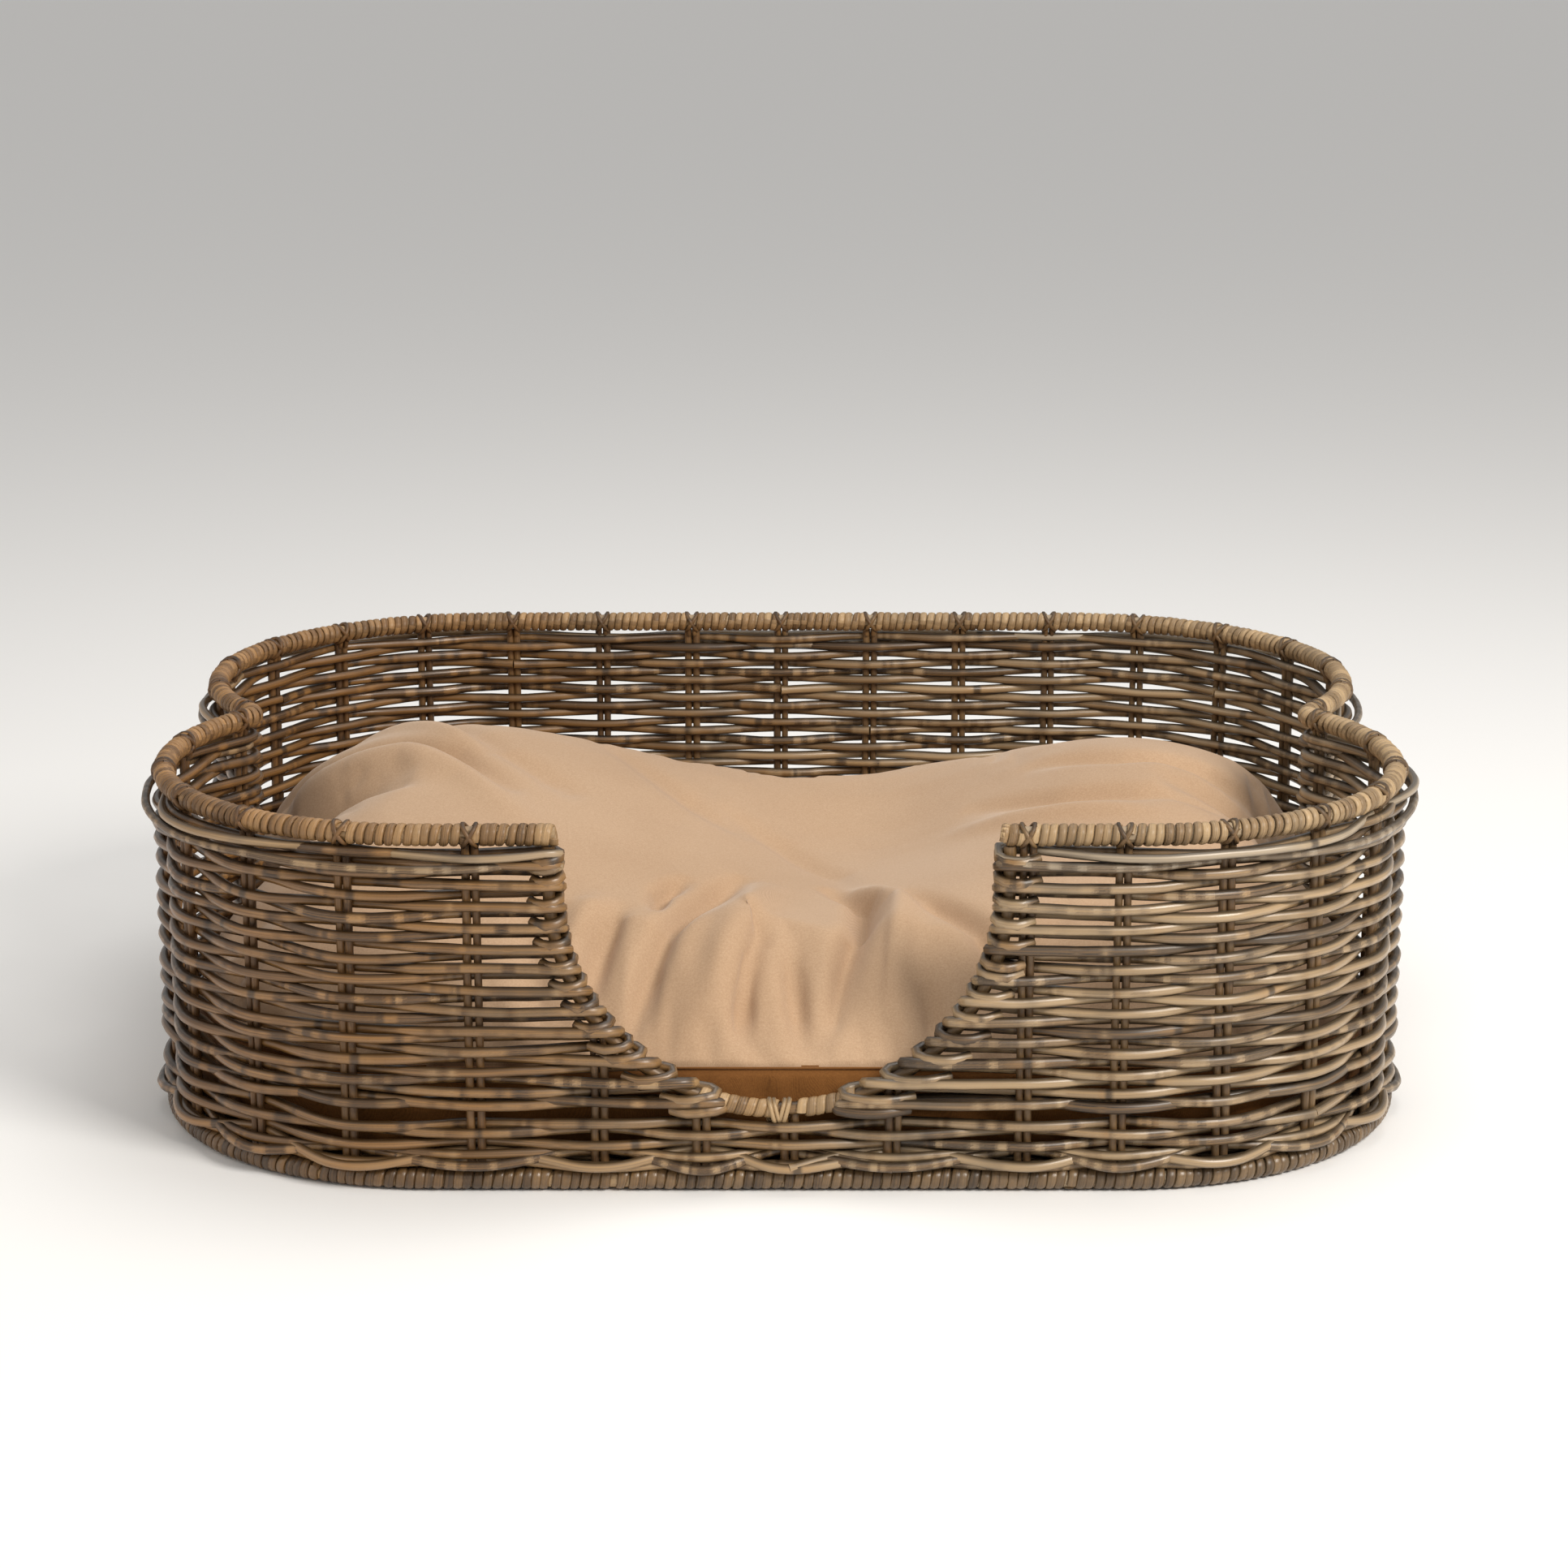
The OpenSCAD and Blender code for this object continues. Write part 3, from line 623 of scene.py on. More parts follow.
head_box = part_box("top_wale")
head_radius = 3.1 * MM
head_paths = []
wale_seed = random.Random(5)
for strand in range(2):
    z = head_box[1].z - head_radius - strand * 7.4 * MM
    opening, clear_right = rail_turn(strand, z, 1)
    closing, clear_left = rail_turn(strand + 1, z, -1)
    path = opening[:-1]
    for index, run in pairs_between(clear_right, outline_run - clear_left):
        bow = wale_seed.uniform(-1, 1) * MM
        tucked = (index + strand * 2) % 5 == 0
        y = -weave_amplitude * 0.4 if tucked else weave_out + head_radius + 0.4 * MM
        path.append((run, y, z + bow))
    closing = [(x + outline_run, y, height) for x, y, height in closing[1:]]
    head_paths.append((path + closing, head_radius))
wale_rattan = rattan(
    "rattan_wale", linear(176, 146, 104), linear(66, 46, 26), linear(172, 158, 138), gloss=0.4)
head_wale = rods.grow("head_wale", thread_mesh("head_wale", head_paths), wale_rattan, Step=0.006)
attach(head_wale, "basket")
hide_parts("top_wale")

# ---- Scoop rail and sill -------------------------------------------------------------------
# A pole bent to a half circle edges the entry. Its lowest stretch is bound with peel, and a
# lashing ties it to the middle stake pair.
rail_paths = []
legs = [(-scoop_radius, wall_top + 2 * MM), (-scoop_radius, (wall_top + scoop_z) / 2)]
arc = [
    (-scoop_radius * math.cos(a), scoop_z - scoop_radius * math.sin(a))
    for a in np.linspace(0, math.pi, 25)]
rail_line = legs + arc + [(-x, z) for x, z in reversed(legs)]
rail_paths.append(([(x, 0.0, z) for x, z in rail_line], rail_radius))
rail = rods.grow(
    "entry_rail", thread_mesh("entry_rail", rail_paths), stake_rattan, Wander=0.0003, Step=0.004)
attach(rail, "basket")
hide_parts("scoop_rail")

sill_turn = math.asin(sill_half / scoop_radius)
knot_turn = 7 * MM / scoop_radius
sill_paths = []
for low, high in ((-sill_turn, knot_turn - 0.05), (knot_turn + 0.05, sill_turn)):
    angles = np.linspace(low, high, 12)
    path = [(scoop_radius * math.sin(a), 0.0, scoop_z - scoop_radius * math.cos(a)) for a in angles]
    sill_paths.append((path, rail_radius))
sill_binding = peel_wrap.grow(
    "sill_binding", thread_mesh("sill_binding", sill_paths), peel,
    Pole=rail_radius, Pitch=0.0068, Width=0.0068, Peel=0.0018, Unevenness=0.12)
knot_paths = []
for lean in (-1, 1):
    for turn in range(2):
        loop = []
        for step in range(17):
            angle = 2 * math.pi * step / 16
            reach = rail_radius + (1.6 + turn * 0.3) * MM
            loop.append((
                lean * (1.5 + turn * 3.2) * MM + lean * 2.2 * MM * math.cos(angle), reach * math.sin(angle),
                sill_z - 1.5 * MM + (reach + 2 * MM) * math.cos(angle)))
        knot_paths.append((loop, 1.6 * MM))
for side in (-1, 1):
    across = side * 8 * MM
    knot_paths.append((
        [(across, -5.2 * MM, sill_z - 9 * MM), (0.0, -8.4 * MM, sill_z - 11 * MM),
         (-across, -5.2 * MM, sill_z - 13 * MM)], 1.7 * MM))
sill_knot = rods.grow(
    "sill_knot", thread_mesh("sill_knot", knot_paths), peel, Wander=0.0003, Step=0.003, Sides=6.0)
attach(sill_knot, "basket")
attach(sill_binding, "basket")
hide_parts("sill_wrap")

# ---- Rim -----------------------------------------------------------------------------------
# A pole laid on the stake tops, nailed down into them and bound with peel between the pairs.
# At each pair the binding parts and a crossed lashing ties the pole down.
rim_pole = (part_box("rim_hoop")[1].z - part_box("rim_hoop")[0].z) / 2
rim_start = scoop_radius - rail_radius
rim_pairs = [run for index, run in pairs_between(rim_start, outline_run - rim_start)]
rim_stops = [rim_start] + rim_pairs + [outline_run - rim_start]
rim_paths = []
for a, b in zip(rim_stops, rim_stops[1:]):
    low = a if a == rim_start else a + 3.5 * MM
    high = b if b == rim_stops[-1] else b - 3.5 * MM
    if high - low > 10 * MM:
        path = [(x, 0.0, rim_z) for x in (low, (low + high) / 2, high)]
        rim_paths.append((path, rim_pole))
for at, step in ((rim_start, 1), (outline_run - rim_start, -1)):
    reach = step * 9 * MM
    path = [(x, 0.0, rim_z) for x in (at, at + reach / 2, at + reach)]
    rim_paths.append((path, rim_pole + 1 * MM))
rim_binding = peel_wrap.grow(
    "rim_binding", thread_mesh("rim_binding", rim_paths), peel,
    Pole=rim_pole, Pitch=0.0061, Width=0.0055, Peel=0.0021, Unevenness=0.2)
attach(rim_binding, "basket")
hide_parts("rim_wrap")
finish_node("rim_hoop", bare_pole)

lash_paths = []
for run in rim_pairs:
    for lean in (-1, 1):
        turn_points = []
        for step in range(17):
            angle = 2 * math.pi * step / 16
            reach = rim_pole + 2.0 * MM
            turn_points.append((
                run + lean * 4.6 * MM * math.cos(angle), reach * math.sin(angle),
                rim_z - 0.4 * MM + reach * math.cos(angle)))
        lash_paths.append((turn_points, 1.7 * MM))
    for step in (-1, 1):
        peg = run + step * 2.4 * MM + wrap_seed.uniform(-0.5, 0.5) * MM
        foot = rim_z - rim_pole - 6 * MM
        lash_paths.append((
            [(peg, -weave_amplitude * 0.5, foot), (peg, -rim_pole * 0.9, rim_z - 2 * MM)], 2.0 * MM))
lashings = rods.grow(
    "rim_lashings_crossed", thread_mesh("rim_lashings_crossed", lash_paths), stake_rattan,
    Wander=0.0003, Step=0.003, Sides=6.0)
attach(lashings, "basket")
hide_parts("rim_lashings")

# ---- Base floor ----------------------------------------------------------------------------
# Three half-round battens are nailed across the hoop. Thin ribs lie across them, and fine rods
# are woven over and under the ribs to close the floor.
floor_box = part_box("base_weave")
floor_z = (floor_box[0].z + floor_box[1].z) / 2
floor_edge = -weave_out - 0.3 * MM
rib_pitch, floor_pitch = 48 * MM, 5.4 * MM
floor_rod, rib_rod, floor_bow = 2.0 * MM, 1.6 * MM, 1.1 * MM


def half_width(y):
    """How far the floor reaches from the middle line at a distance y from the middle."""
    reach = lobe_radius + floor_edge
    width = lobe_x + math.sqrt(max(reach**2 - (abs(y) - lobe_y) ** 2, 0))
    notch = notch_radius - floor_edge
    if abs(y) < notch * math.sin(notch_half_run / notch_radius):
        width = min(width, notch_x - math.sqrt(notch**2 - y * y))
    return width


def half_length_at(x):
    """How far a rib reaches from the middle at a distance x from the middle line."""
    reach = lobe_radius + floor_edge
    return lobe_y + math.sqrt(max(reach**2 - max(abs(x) - lobe_x, 0) ** 2, 0))


floor_seed = random.Random(31)
floor_paths = []
floor_rows = int(2 * (half_depth + floor_edge - floor_rod) / floor_pitch)
for row in range(floor_rows + 1):
    y = (row - floor_rows / 2) * floor_pitch
    reach = half_width(y) - floor_rod
    steps = int(reach / rib_pitch)
    path = [(-reach, y, floor_z)]
    for rib in range(-steps, steps + 1):
        wander = floor_seed.uniform(-0.3, 0.3) * MM
        path.append((rib * rib_pitch, y + wander, floor_z + (1 if (rib + row) % 2 else -1) * floor_bow))
    floor_paths.append((path + [(reach, y, floor_z)], floor_rod * floor_seed.uniform(0.93, 1.05)))
floor_rods = rods.grow(
    "base_floor_rods", thread_mesh("base_floor_rods", floor_paths), weaver_rattan,
    Bend=0.0, Sides=6.0, Step=0.012, Wander=0.0002)
rib_count = int((lobe_x + lobe_radius + floor_edge) / rib_pitch)
rib_paths = []
for rib in range(-rib_count, rib_count + 1):
    x = rib * rib_pitch
    reach = half_length_at(x) - 2 * MM
    rib_paths.append(([(x, -reach, floor_z), (x, 0.0, floor_z), (x, reach, floor_z)], rib_rod))
ribs = rods.grow(
    "base_ribs", thread_mesh("base_ribs", rib_paths), stake_rattan,
    Bend=0.0, Sides=6.0, Step=0.02, Wander=0.0002)
for piece in (floor_rods, ribs):
    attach(piece, "basket")
    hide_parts("base_weave")
for node in ("base_batten_left", "base_batten_middle", "base_batten_right"):
    finish_node(node, bare_pole)


def bright_metal(name, color, roughness):
    """Drawn or cast metal with a fine brushed grain and a little tarnish."""
    material, tree, place = blank_material(name)
    grain = tree.noise(tree.vector("MULTIPLY", place, (300.0, 2500.0, 300.0)), 1.0, 3.0)
    tarnish = tree.noise(place, 400.0, 4.0, 0.6).between(0.45, 0.7)
    shade = tree.mix(tarnish * 0.4, (*color, 1), (*[c * 0.45 for c in color], 1))
    bump = tree.node("ShaderNodeBump", {}, {"Strength": 0.15, "Distance": 0.0001, "Height": grain})
    shader = tree.node("ShaderNodeBsdfPrincipled", {}, {
        "Base Color": shade, "Metallic": 1.0, "Roughness": grain * 0.2 + tarnish * 0.15 + roughness,
        "Normal": bump})
    tree.node("ShaderNodeOutputMaterial", {}, [shader])
    return material


nail_steel = bright_metal("nail_steel", linear(176, 172, 166), 0.3)
finish_node("base_nails", nail_steel)
finish_node("rim_nails", nail_steel)

# ---- Inner pad -----------------------------------------------------------------------------
# A ticking case stuffed with fibre. It fills the cover, hidden while the cover is closed.
seam_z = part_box("cover_gusset")[1].z
cushion_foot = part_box("cover_bottom")[0].z
cushion_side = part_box("cover_bottom")[1].y - half_depth
crown_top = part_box("cover_top")[1].z
spine_half = lobe_x + lobe_radius * 0.3
spine_draw = 1.5


def bump_at(x, y, centre, spread_xy):
    return math.exp(-((x - centre[0]) / spread_xy[0]) ** 2 - ((y - centre[1]) / spread_xy[1]) ** 2)


def crown_height(x, y, share):
    """Rise of the stuffed top: plump at both ends, pressed down in the middle."""
    edge = (1 - (1 - min(share, 1.0)) ** 2.6) ** 0.62
    full = crown_top - seam_z
    body = 0.66 * full
    body += 0.46 * full * bump_at(x, y, (-0.270, 0.130), (0.170, 0.150))
    body += 0.38 * full * bump_at(x, y, (0.285, 0.120), (0.165, 0.160))
    body += 0.16 * full * bump_at(x, y, (-0.28, -0.10), (0.12, 0.12))
    body += 0.10 * full * bump_at(x, y, (0.30, -0.08), (0.12, 0.12))
    body += 0.10 * full * bump_at(x, y, (-0.035, -0.215), (0.06, 0.05))
    body -= 0.40 * full * bump_at(x, y, (0.06, 0.03), (0.125, 0.150))
    body -= 0.17 * full * bump_at(x, y, (0.0, -0.16), (0.140, 0.110))
    return edge * body


def stuffed(name, side, foot, seam, rise, around, bulge):
    """A closed stuffed form: flat bottom, soft upright sides and a crowned top."""
    edge = [wall_point(outline_run * i / around, side) for i in range(around)]
    spine = [Vector((p.x / (half_depth * 2) * spine_half * spine_draw, 0, 0)) for p in edge]
    steps = [0, 0.02, 0.05, 0.09, 0.14, 0.2, 0.28, 0.37, 0.47, 0.58, 0.7, 0.82, 0.92, 1]
    rings = [
        [(e.lerp(s, t).x, e.lerp(s, t).y, foot) for e, s in zip(edge, spine)] for t in reversed(steps[1:])]
    for level in range(9):
        share = level / 8
        out = side + bulge * math.sin(math.pi * share) ** 0.7
        height = foot + (seam - foot) * share
        rings.append([tuple(wall_point(outline_run * i / around, out, height)) for i in range(around)])
    for t in steps[1:]:
        ring = []
        for e, s in zip(edge, spine):
            at = e.lerp(s, t)
            ring.append((at.x, at.y, seam + rise(at.x, at.y, t)))
        rings.append(ring)
    mesh = bpy.data.meshes.new(name)
    made = bmesh.new()
    verts = [[made.verts.new(p) for p in ring] for ring in rings]
    for low, high in zip(verts, verts[1:]):
        for i in range(around):
            j = (i + 1) % around
            made.faces.new((low[i], low[j], high[j], high[i]))
    bmesh.ops.remove_doubles(made, verts=made.verts, dist=0.5 * MM)
    bmesh.ops.dissolve_degenerate(made, dist=0.2 * MM, edges=made.edges)
    bmesh.ops.recalc_face_normals(made, faces=made.faces)
    made.to_mesh(mesh)
    made.free()
    piece = bpy.data.objects.new(name, mesh)
    bpy.context.collection.objects.link(piece)
    return piece


def woven_cloth(name, color, shade, thread, sheen):
    """Plain or twill cloth: fine crossing threads, slubs, and a soft nap that lightens it."""
    material, tree, place = blank_material(name)
    x, y, z = tree.split(place)
    turn = 2 * math.pi / thread
    warp = ((x + y * 0.9 + z * 0.6) * turn).math("SINE")
    weft = ((x * 0.5 - y + z * 0.9) * (turn * 0.83)).math("SINE")
    twill = warp * weft * 0.5 + 0.5
    slub = tree.noise(place, 700.0, 2.0, 0.7)
    fuzz = tree.noise(place, 2600.0, 2.0, 0.6)
    broad = tree.noise(place, 6.0, 3.0, 0.5)
    tone = twill * 0.25 + slub * 0.4 + fuzz * 0.35 + broad * 0.3
    shown = tree.mix(tone.between(0.35, 1.0), (*shade, 1), (*color, 1))
    height = twill * 0.6 + slub * 0.6 + fuzz * 0.3
    bump = tree.node("ShaderNodeBump", {}, {"Strength": 0.28, "Distance": 0.0003, "Height": height})
    shader = tree.node("ShaderNodeBsdfPrincipled", {}, {
        "Base Color": shown, "Roughness": 0.9 - slub * 0.1, "Normal": bump, "Specular IOR Level": 0.25,
        "Sheen Weight": sheen, "Sheen Roughness": 0.45, "Sheen Tint": (1.0, 0.93, 0.86, 1)})
    tree.node("ShaderNodeOutputMaterial", {}, [shader])
    return material


pad_inset = 10 * MM
ticking = woven_cloth("pad_ticking", linear(232, 228, 218), linear(206, 200, 188), 0.0009, 0.2)
inner_pad = stuffed(
    "inner_pad", cushion_side - pad_inset, cushion_foot + 3 * MM, seam_z - 2 * pad_inset,
    lambda x, y, share: 0.68 * crown_height(x, y, share), 160, 0.0)
inner_pad.data.materials.append(ticking)
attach(inner_pad, "cushion")
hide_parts("pad_casing_lower", "pad_casing_upper", "pad_filling")

# ---- Cushion cover -------------------------------------------------------------------------
# Cotton twill sewn as a box: a top panel, a gusset and a bottom panel, joined by plain seams.
# The stuffing pushes it up at both ends; it creases where a body has pressed the middle down.
zip_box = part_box("zip_tapes")
zip_z = (zip_box[0].z + zip_box[1].z) / 2
zip_margin = 1 * MM


def wall_offsets(points):
    """How far each point lies outside the outline, as an array; inside is negative."""
    x, y = np.abs(points[:, 0]), np.abs(points[:, 1])
    out = np.hypot(np.maximum(x - lobe_x, 0), y - lobe_y) - lobe_radius
    out = np.where((x < lobe_x) & (y < lobe_y), -lobe_radius, out)
    turn = np.arctan2(y, notch_x - x)
    in_notch = (turn < notch_half_run / notch_radius) & (x < notch_x)
    return np.where(in_notch, notch_radius - np.hypot(notch_x - x, y), out)


def coordinates(mesh):
    flat = np.empty(len(mesh.vertices) * 3, np.float32)
    mesh.vertices.foreach_get("co", flat)
    return flat.reshape(-1, 3).astype(float)


def applied(piece):
    """The piece with its modifiers worked into its mesh."""
    evaluated = piece.evaluated_get(bpy.context.evaluated_depsgraph_get())
    piece.data = bpy.data.meshes.new_from_object(evaluated)
    piece.modifiers.clear()
    return piece


def puffed(piece, pressure, cap):
    """Cloth simulation: the cover fills out like a stuffed bag, held along its seams and its foot."""
    start = coordinates(piece.data)
    near_seam = np.abs(start[:, 2] - seam_z) < 5 * MM
    on_edge = wall_offsets(start) > cushion_side - 5 * MM
    held = (near_seam & on_edge) | (start[:, 2] < cushion_foot + 6 * MM)
    at_zip = (start[:, 1] > 0) & (np.abs(start[:, 0]) < zip_box[1].x + 8 * MM) & on_edge
    held |= at_zip & (start[:, 2] < seam_z)
    group = piece.vertex_groups.new(name="held")
    group.add([int(i) for i in np.nonzero(held)[0]], 1.0, "REPLACE")
    cloth = piece.modifiers.new("fill", "CLOTH")
    settings = cloth.settings
    settings.quality = 4
    settings.mass = 0.3
    settings.tension_stiffness = 12
    settings.compression_stiffness = 12
    settings.shear_stiffness = 4
    settings.bending_stiffness = 0.3
    settings.use_pressure = True
    settings.uniform_pressure_force = pressure
    settings.effector_weights.gravity = 0
    settings.vertex_group_mass = "held"
    settings.shrink_min = -0.035
    cloth.collision_settings.use_collision = False
    cloth.point_cache.frame_end = 20
    for step in range(1, 21):
        bpy.context.scene.frame_set(step)
    evaluated = piece.evaluated_get(bpy.context.evaluated_depsgraph_get())
    end = coordinates(evaluated.data)
    piece.modifiers.clear()
    bpy.context.scene.frame_set(1)
    move = end - start
    far = np.linalg.norm(move, axis=1, keepdims=True)
    end = start + move * np.minimum(1, cap / np.maximum(far, 1e-9))
    piece.data.vertices.foreach_set("co", end.astype(np.float32).ravel())
    piece.vertex_groups.clear()
    return piece


cover = stuffed(
    "cushion_cover", cushion_side - 1 * MM, cushion_foot + 0.4 * MM, seam_z, crown_height, 288, 3 * MM)
remesh = cover.modifiers.new("even", "REMESH")
remesh.mode = "VOXEL"
remesh.voxel_size = 6 * MM
applied(cover)
puffed(cover, 4.0, 24 * MM)
finer = cover.modifiers.new("finer", "SUBSURF")
finer.levels = finer.render_levels = 1
applied(cover)


def path_distance(points, path):
    """Distance in plan from each point to a path, and the share of the path passed there."""
    best = np.full(len(points), 9.0)
    share = np.zeros(len(points))
    flat = points[:, :2]
    ends = np.array(path, float) * MM
    for i, (a, b) in enumerate(zip(ends, ends[1:])):
        line = b - a
        t = np.clip(((flat - a) @ line) / (line @ line), 0, 1)
        gap = np.linalg.norm(flat - a - t[:, None] * line, axis=1)
        closer = gap < best
        best[closer] = gap[closer]
        share[closer] = ((i + t) / (len(ends) - 1))[closer]
    return best, share


# Creases of the top: (depth, width, path in millimetres). A positive depth is a valley.
creases = [
    (15, 11, [(-400, 110), (-350, 88), (-300, 72), (-250, 40), (-205, -15)]),
    (-10, 17, [(-395, 72), (-340, 50), (-285, 34), (-235, -5), (-190, -70)]),
    (10, 12, [(-300, 165), (-255, 110), (-215, 50), (-160, 0)]),
    (-8, 13, [(-330, 150), (-285, 125), (-240, 75), (-190, 20)]),
    (8, 11, [(-380, 10), (-330, -5), (-280, -20)]),
    (17, 9, [(-30, -95), (-46, -135), (-66, -185), (-88, -240), (-100, -285)]),
    (-13, 13, [(-12, -110), (-20, -165), (-35, -220), (-48, -272)]),
    (14, 7, [(-70, -120), (-84, -150), (-88, -180)]),
    (18, 9, [(38, -95), (60, -135), (58, -190), (46, -240), (36, -285)]),
    (-12, 12, [(62, -105), (88, -150), (84, -210), (74, -280)]),
    (14, 10, [(92, -130), (118, -175), (146, -225), (160, -260)]),
    (10, 8, [(-112, -190), (-124, -225), (-132, -262)]),
    (-7, 10, [(-130, -180), (-146, -220), (-150, -260)]),
    (8, 11, [(150, 40), (205, 0), (265, -25), (330, -35)]),
    (-7, 12, [(140, 5), (200, -32), (270, -60)]),
    (8, 10, [(200, 80), (260, 50), (330, 40), (390, 50)]),
    (9, 7, [(8, -225), (12, -262), (16, -298)]),
    (9, 7, [(-20, -235), (-24, -268), (-28, -298)]),
    (7, 7, [(100, -250), (104, -275), (106, -298)]),
    (7, 12, [(-40, 60), (0, 20), (40, -40), (50, -90)]),
    (6, 12, [(-130, 120), (-80, 60), (-30, 20)]),
]
shape = coordinates(cover.data)
lift = np.zeros(len(shape))
for depth, width, path in creases:
    gap, share = path_distance(shape, path)
    fade = np.sin(np.pi * np.clip(share * 0.92 + 0.04, 0, 1)) ** 0.6
    lift -= depth * MM * fade * np.exp(-((gap / (width * MM)) ** 2))
# Puckers: the top panel is gathered a little along its seam
heading = np.arctan2(shape[:, 1] * 1.3, shape[:, 0])
pucker = np.sin(heading * 47 + 2.1 * np.sin(heading * 9))
pucker += 0.7 * np.sin(heading * 83 + 1.7 * np.sin(heading * 14))
near_edge = np.exp(-((shape[:, 2] - seam_z - 9 * MM) / (15 * MM)) ** 2) * (shape[:, 2] > seam_z)
lift += 0.9 * MM * pucker * near_edge
on_top = np.clip((shape[:, 2] - seam_z - 2 * MM) / (22 * MM), 0, 1)
normals = np.empty(len(cover.data.vertices) * 3, np.float32)
cover.data.vertices.foreach_get("normal", normals)
shape += normals.reshape(-1, 3) * (lift * on_top)[:, None]

# The seams are pulled in, the foot lies flat, the zip lies in its slot, and the sides clear the wall
offsets = wall_offsets(shape)
beside = offsets > cushion_side - 14 * MM
for level, depth in ((seam_z, 3.2), (cushion_foot + 3 * MM, 1.5)):
    pull = depth * MM * np.exp(-(((shape[:, 2] - level) / (2.6 * MM)) ** 2)) * beside
    centre = np.stack([np.clip(shape[:, 0], -spine_half, spine_half), shape[:, 1] * 0, shape[:, 2]], 1)
    inward = centre - shape
    inward /= np.maximum(np.linalg.norm(inward, axis=1, keepdims=True), 1e-9)
    shape += inward * pull[:, None]
clear_of_wall = -12.5 * MM
over = np.maximum(wall_offsets(shape) - clear_of_wall, 0)
core_half = lobe_x * 0.9
inward = np.stack([np.clip(shape[:, 0], -core_half, core_half), shape[:, 1] * 0, shape[:, 2]], 1) - shape
inward /= np.maximum(np.linalg.norm(inward, axis=1, keepdims=True), 1e-9)
shape += inward * over[:, None]
in_slot = (
    (shape[:, 1] > half_depth + cushion_side - 25 * MM) & (np.abs(shape[:, 0]) < zip_box[1].x + 2 * MM)
    & (np.abs(shape[:, 2] - zip_z) < (zip_box[1].z - zip_box[0].z) / 2 - zip_margin))
shape[in_slot, 1] = np.minimum(shape[in_slot, 1], zip_box[0].y - 0.8 * MM)
shape[:, 2] = np.maximum(shape[:, 2], cushion_foot + 0.3 * MM)
cover.data.vertices.foreach_set("co", shape.astype(np.float32).ravel())
cover.data.update()
twill = woven_cloth("cover_canvas", linear(200, 170, 140), linear(162, 129, 98), 0.0008, 0.3)
# Painted shade: the gusset and bottom panel take a darker, more orange copy of the cover's canvas, standing
# in for the shade on the cushion's sides.
gusset_twill_shaded = woven_cloth("gusset_canvas", linear(136, 88, 38), linear(94, 56, 20), 0.0008, 0.2)
for material in (twill, gusset_twill_shaded):
    cover.data.materials.append(material)
for face in cover.data.polygons:
    face.use_smooth = True
    face.material_index = 0 if face.center.z > seam_z else 1
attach(cover, "cushion")
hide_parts("cover_top", "cover_gusset", "cover_bottom")

seam_paths = []
for level in (seam_z, cushion_foot + 3 * MM):
    run_points = [(outline_run * i / 180, cushion_side - 2.6 * MM, level) for i in range(181)]
    seam_paths.append((run_points, 0.9 * MM))
# The seams take the gusset's darker copy of the canvas, with its painted shade.
seams = rods.grow(
    "cover_seams", thread_mesh("cover_seams", seam_paths), gusset_twill_shaded,
    Wander=0.0001, Sides=6.0, Step=0.006)
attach(seams, "cushion")

# ---- Zip -----------------------------------------------------------------------------------
# A nylon coil zip in the back of the gusset: two woven tapes, two coils of nylon sewn to them,
# a stop at each end, and a slider with a flat pull that hangs from its rivet.
zip_tape = woven_cloth("zip_tape", linear(176, 128, 82), linear(140, 98, 60), 0.0007, 0.1)
finish_node("zip_tapes", zip_tape)


def moulded_nylon(name, color):
    """Drawn nylon: slightly waxy, with fine scuffs."""
    material, tree, place = blank_material(name)
    scuff = tree.noise(place, 900.0, 3.0, 0.6)
    shown = tree.mix(scuff * 0.5, (*color, 1), (*[c * 0.6 for c in color], 1))
    bump = tree.node("ShaderNodeBump", {}, {"Strength": 0.1, "Distance": 0.0001, "Height": scuff})
    shader = tree.node("ShaderNodeBsdfPrincipled", {}, {
        "Base Color": shown, "Roughness": scuff * 0.2 + 0.3, "Normal": bump})
    tree.node("ShaderNodeOutputMaterial", {}, [shader])
    return material


coil_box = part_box("zip_coils")
coil_radius = (coil_box[1].y - coil_box[0].y) / 2
coil_y = (coil_box[1].y + coil_box[0].y) / 2 - half_depth
coil_ends = [half_run - coil_box[1].x, half_run - coil_box[0].x]
coil_paths = []
for level in (coil_box[0].z + coil_radius, coil_box[1].z - coil_radius):
    coil_paths.append((
        [(coil_ends[0], coil_y, level), (half_run, coil_y, level), (coil_ends[1], coil_y, level)],
        coil_radius))
coils = peel_wrap.grow(
    "zip_chain", thread_mesh("zip_chain", coil_paths), moulded_nylon("zip_nylon", linear(150, 108, 68)),
    Pole=coil_radius * 0.45, Peel=0.0005, Pitch=0.0016, Width=0.0011, Unevenness=0.0, Turns=9.0)
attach(coils, "cushion")
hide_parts("zip_coils")
zip_metal = bright_metal("zip_metal", linear(190, 182, 166), 0.22)
for node in ("zip_stops", "zip_slider", "zip_pull"):
    finish_node(node, zip_metal)

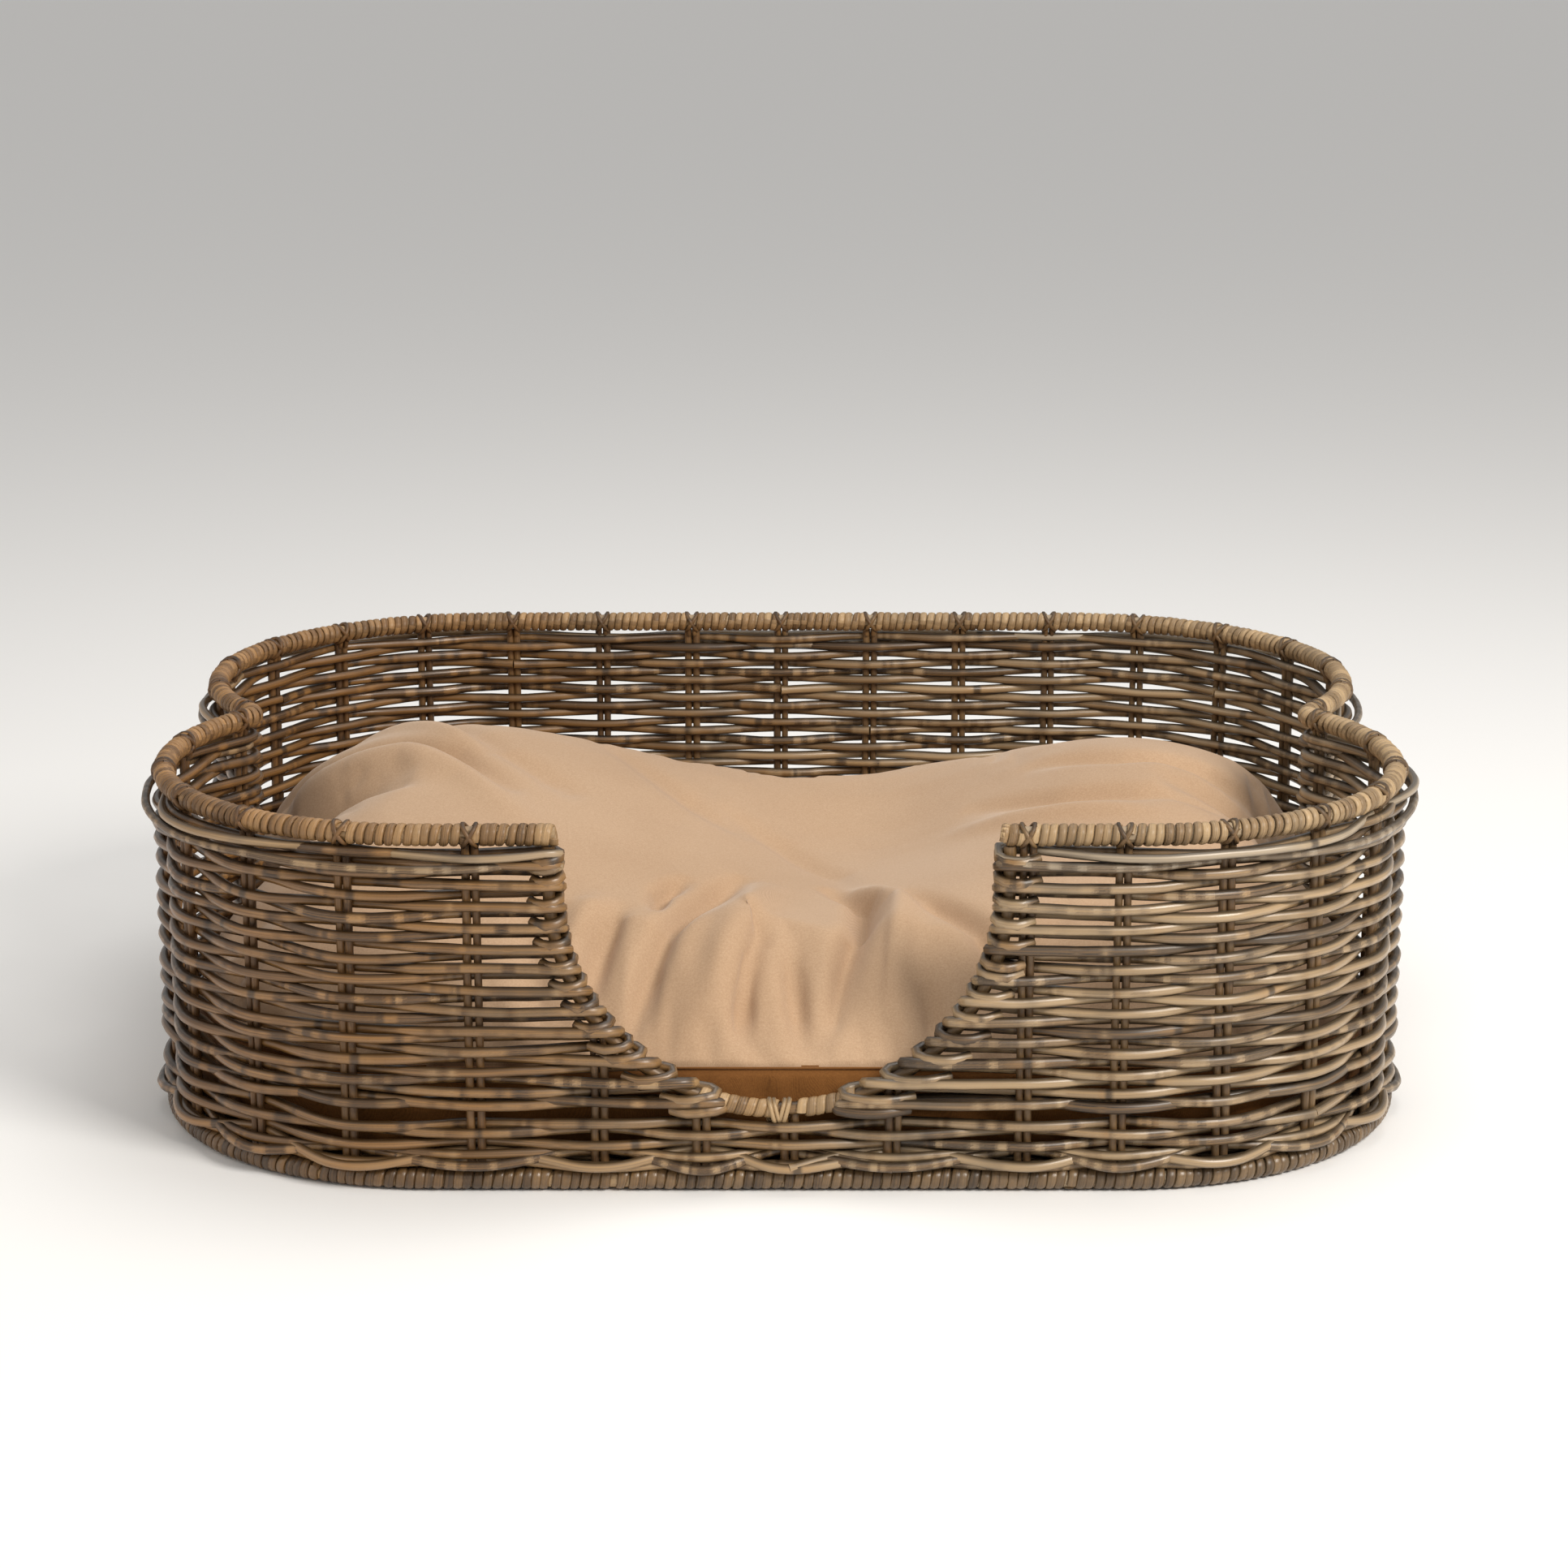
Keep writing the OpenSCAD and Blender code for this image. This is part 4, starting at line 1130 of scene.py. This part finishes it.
# ---- Floor, light and camera ---------------------------------------------------------------
# A plain pale floor, a broad soft light from the front right, and a low wide fill.
floor_mesh = bpy.data.meshes.new("floor")
floor_half = 60.0
floor_mesh.from_pydata(
    [(-floor_half, -floor_half, 0), (floor_half, -floor_half, 0), (floor_half, floor_half, 0),
     (-floor_half, floor_half, 0)], [], [(0, 1, 2, 3)])
floor = bpy.data.objects.new("floor", floor_mesh)
bpy.context.collection.objects.link(floor)
floor_paint = bpy.data.materials.new("floor_paint")
floor_paint.use_nodes = True
floor_paint.node_tree.nodes["Principled BSDF"].inputs["Base Color"].default_value = (0.93, 0.925, 0.92, 1)
floor_paint.node_tree.nodes["Principled BSDF"].inputs["Roughness"].default_value = 0.9
floor_mesh.materials.append(floor_paint)

world = bpy.data.worlds.new("studio")
world.use_nodes = True
world.node_tree.nodes["Background"].inputs["Color"].default_value = (1.0, 0.985, 0.96, 1)
world.node_tree.nodes["Background"].inputs["Strength"].default_value = 0.5
bpy.context.scene.world = world


def soft_light(name, place, target, size, power, color):
    lamp = bpy.data.lights.new(name, "AREA")
    lamp.size = size
    lamp.energy = power
    lamp.color = color
    holder = bpy.data.objects.new(name, lamp)
    bpy.context.collection.objects.link(holder)
    holder.location = place
    holder.rotation_euler = (Vector(target) - Vector(place)).to_track_quat("-Z", "Y").to_euler()


soft_light("window", (1.6, -1.7, 1.9), (0, 0, 0.1), 1.0, 66, (1.0, 0.96, 0.90))
soft_light("fill", (-2.2, -1.2, 1.2), (0, 0, 0.1), 1.8, 8, (1.0, 0.93, 0.82))
soft_light("above", (0.2, 0.5, 2.4), (0, 0, 0.1), 1.6, 18, (1.0, 0.98, 0.95))
bpy.context.scene.view_settings.view_transform = "Standard"

camera_lens = bpy.data.cameras.new("camera")
camera_lens.lens = 83.5
camera_lens.sensor_width = 36
camera = bpy.data.objects.new("camera", camera_lens)
camera.location = (0.0058, -2.6477, 0.9015)
camera.rotation_euler = (math.pi / 2 - 0.26005, 0, 0.0011)
bpy.context.collection.objects.link(camera)
bpy.context.scene.camera = camera
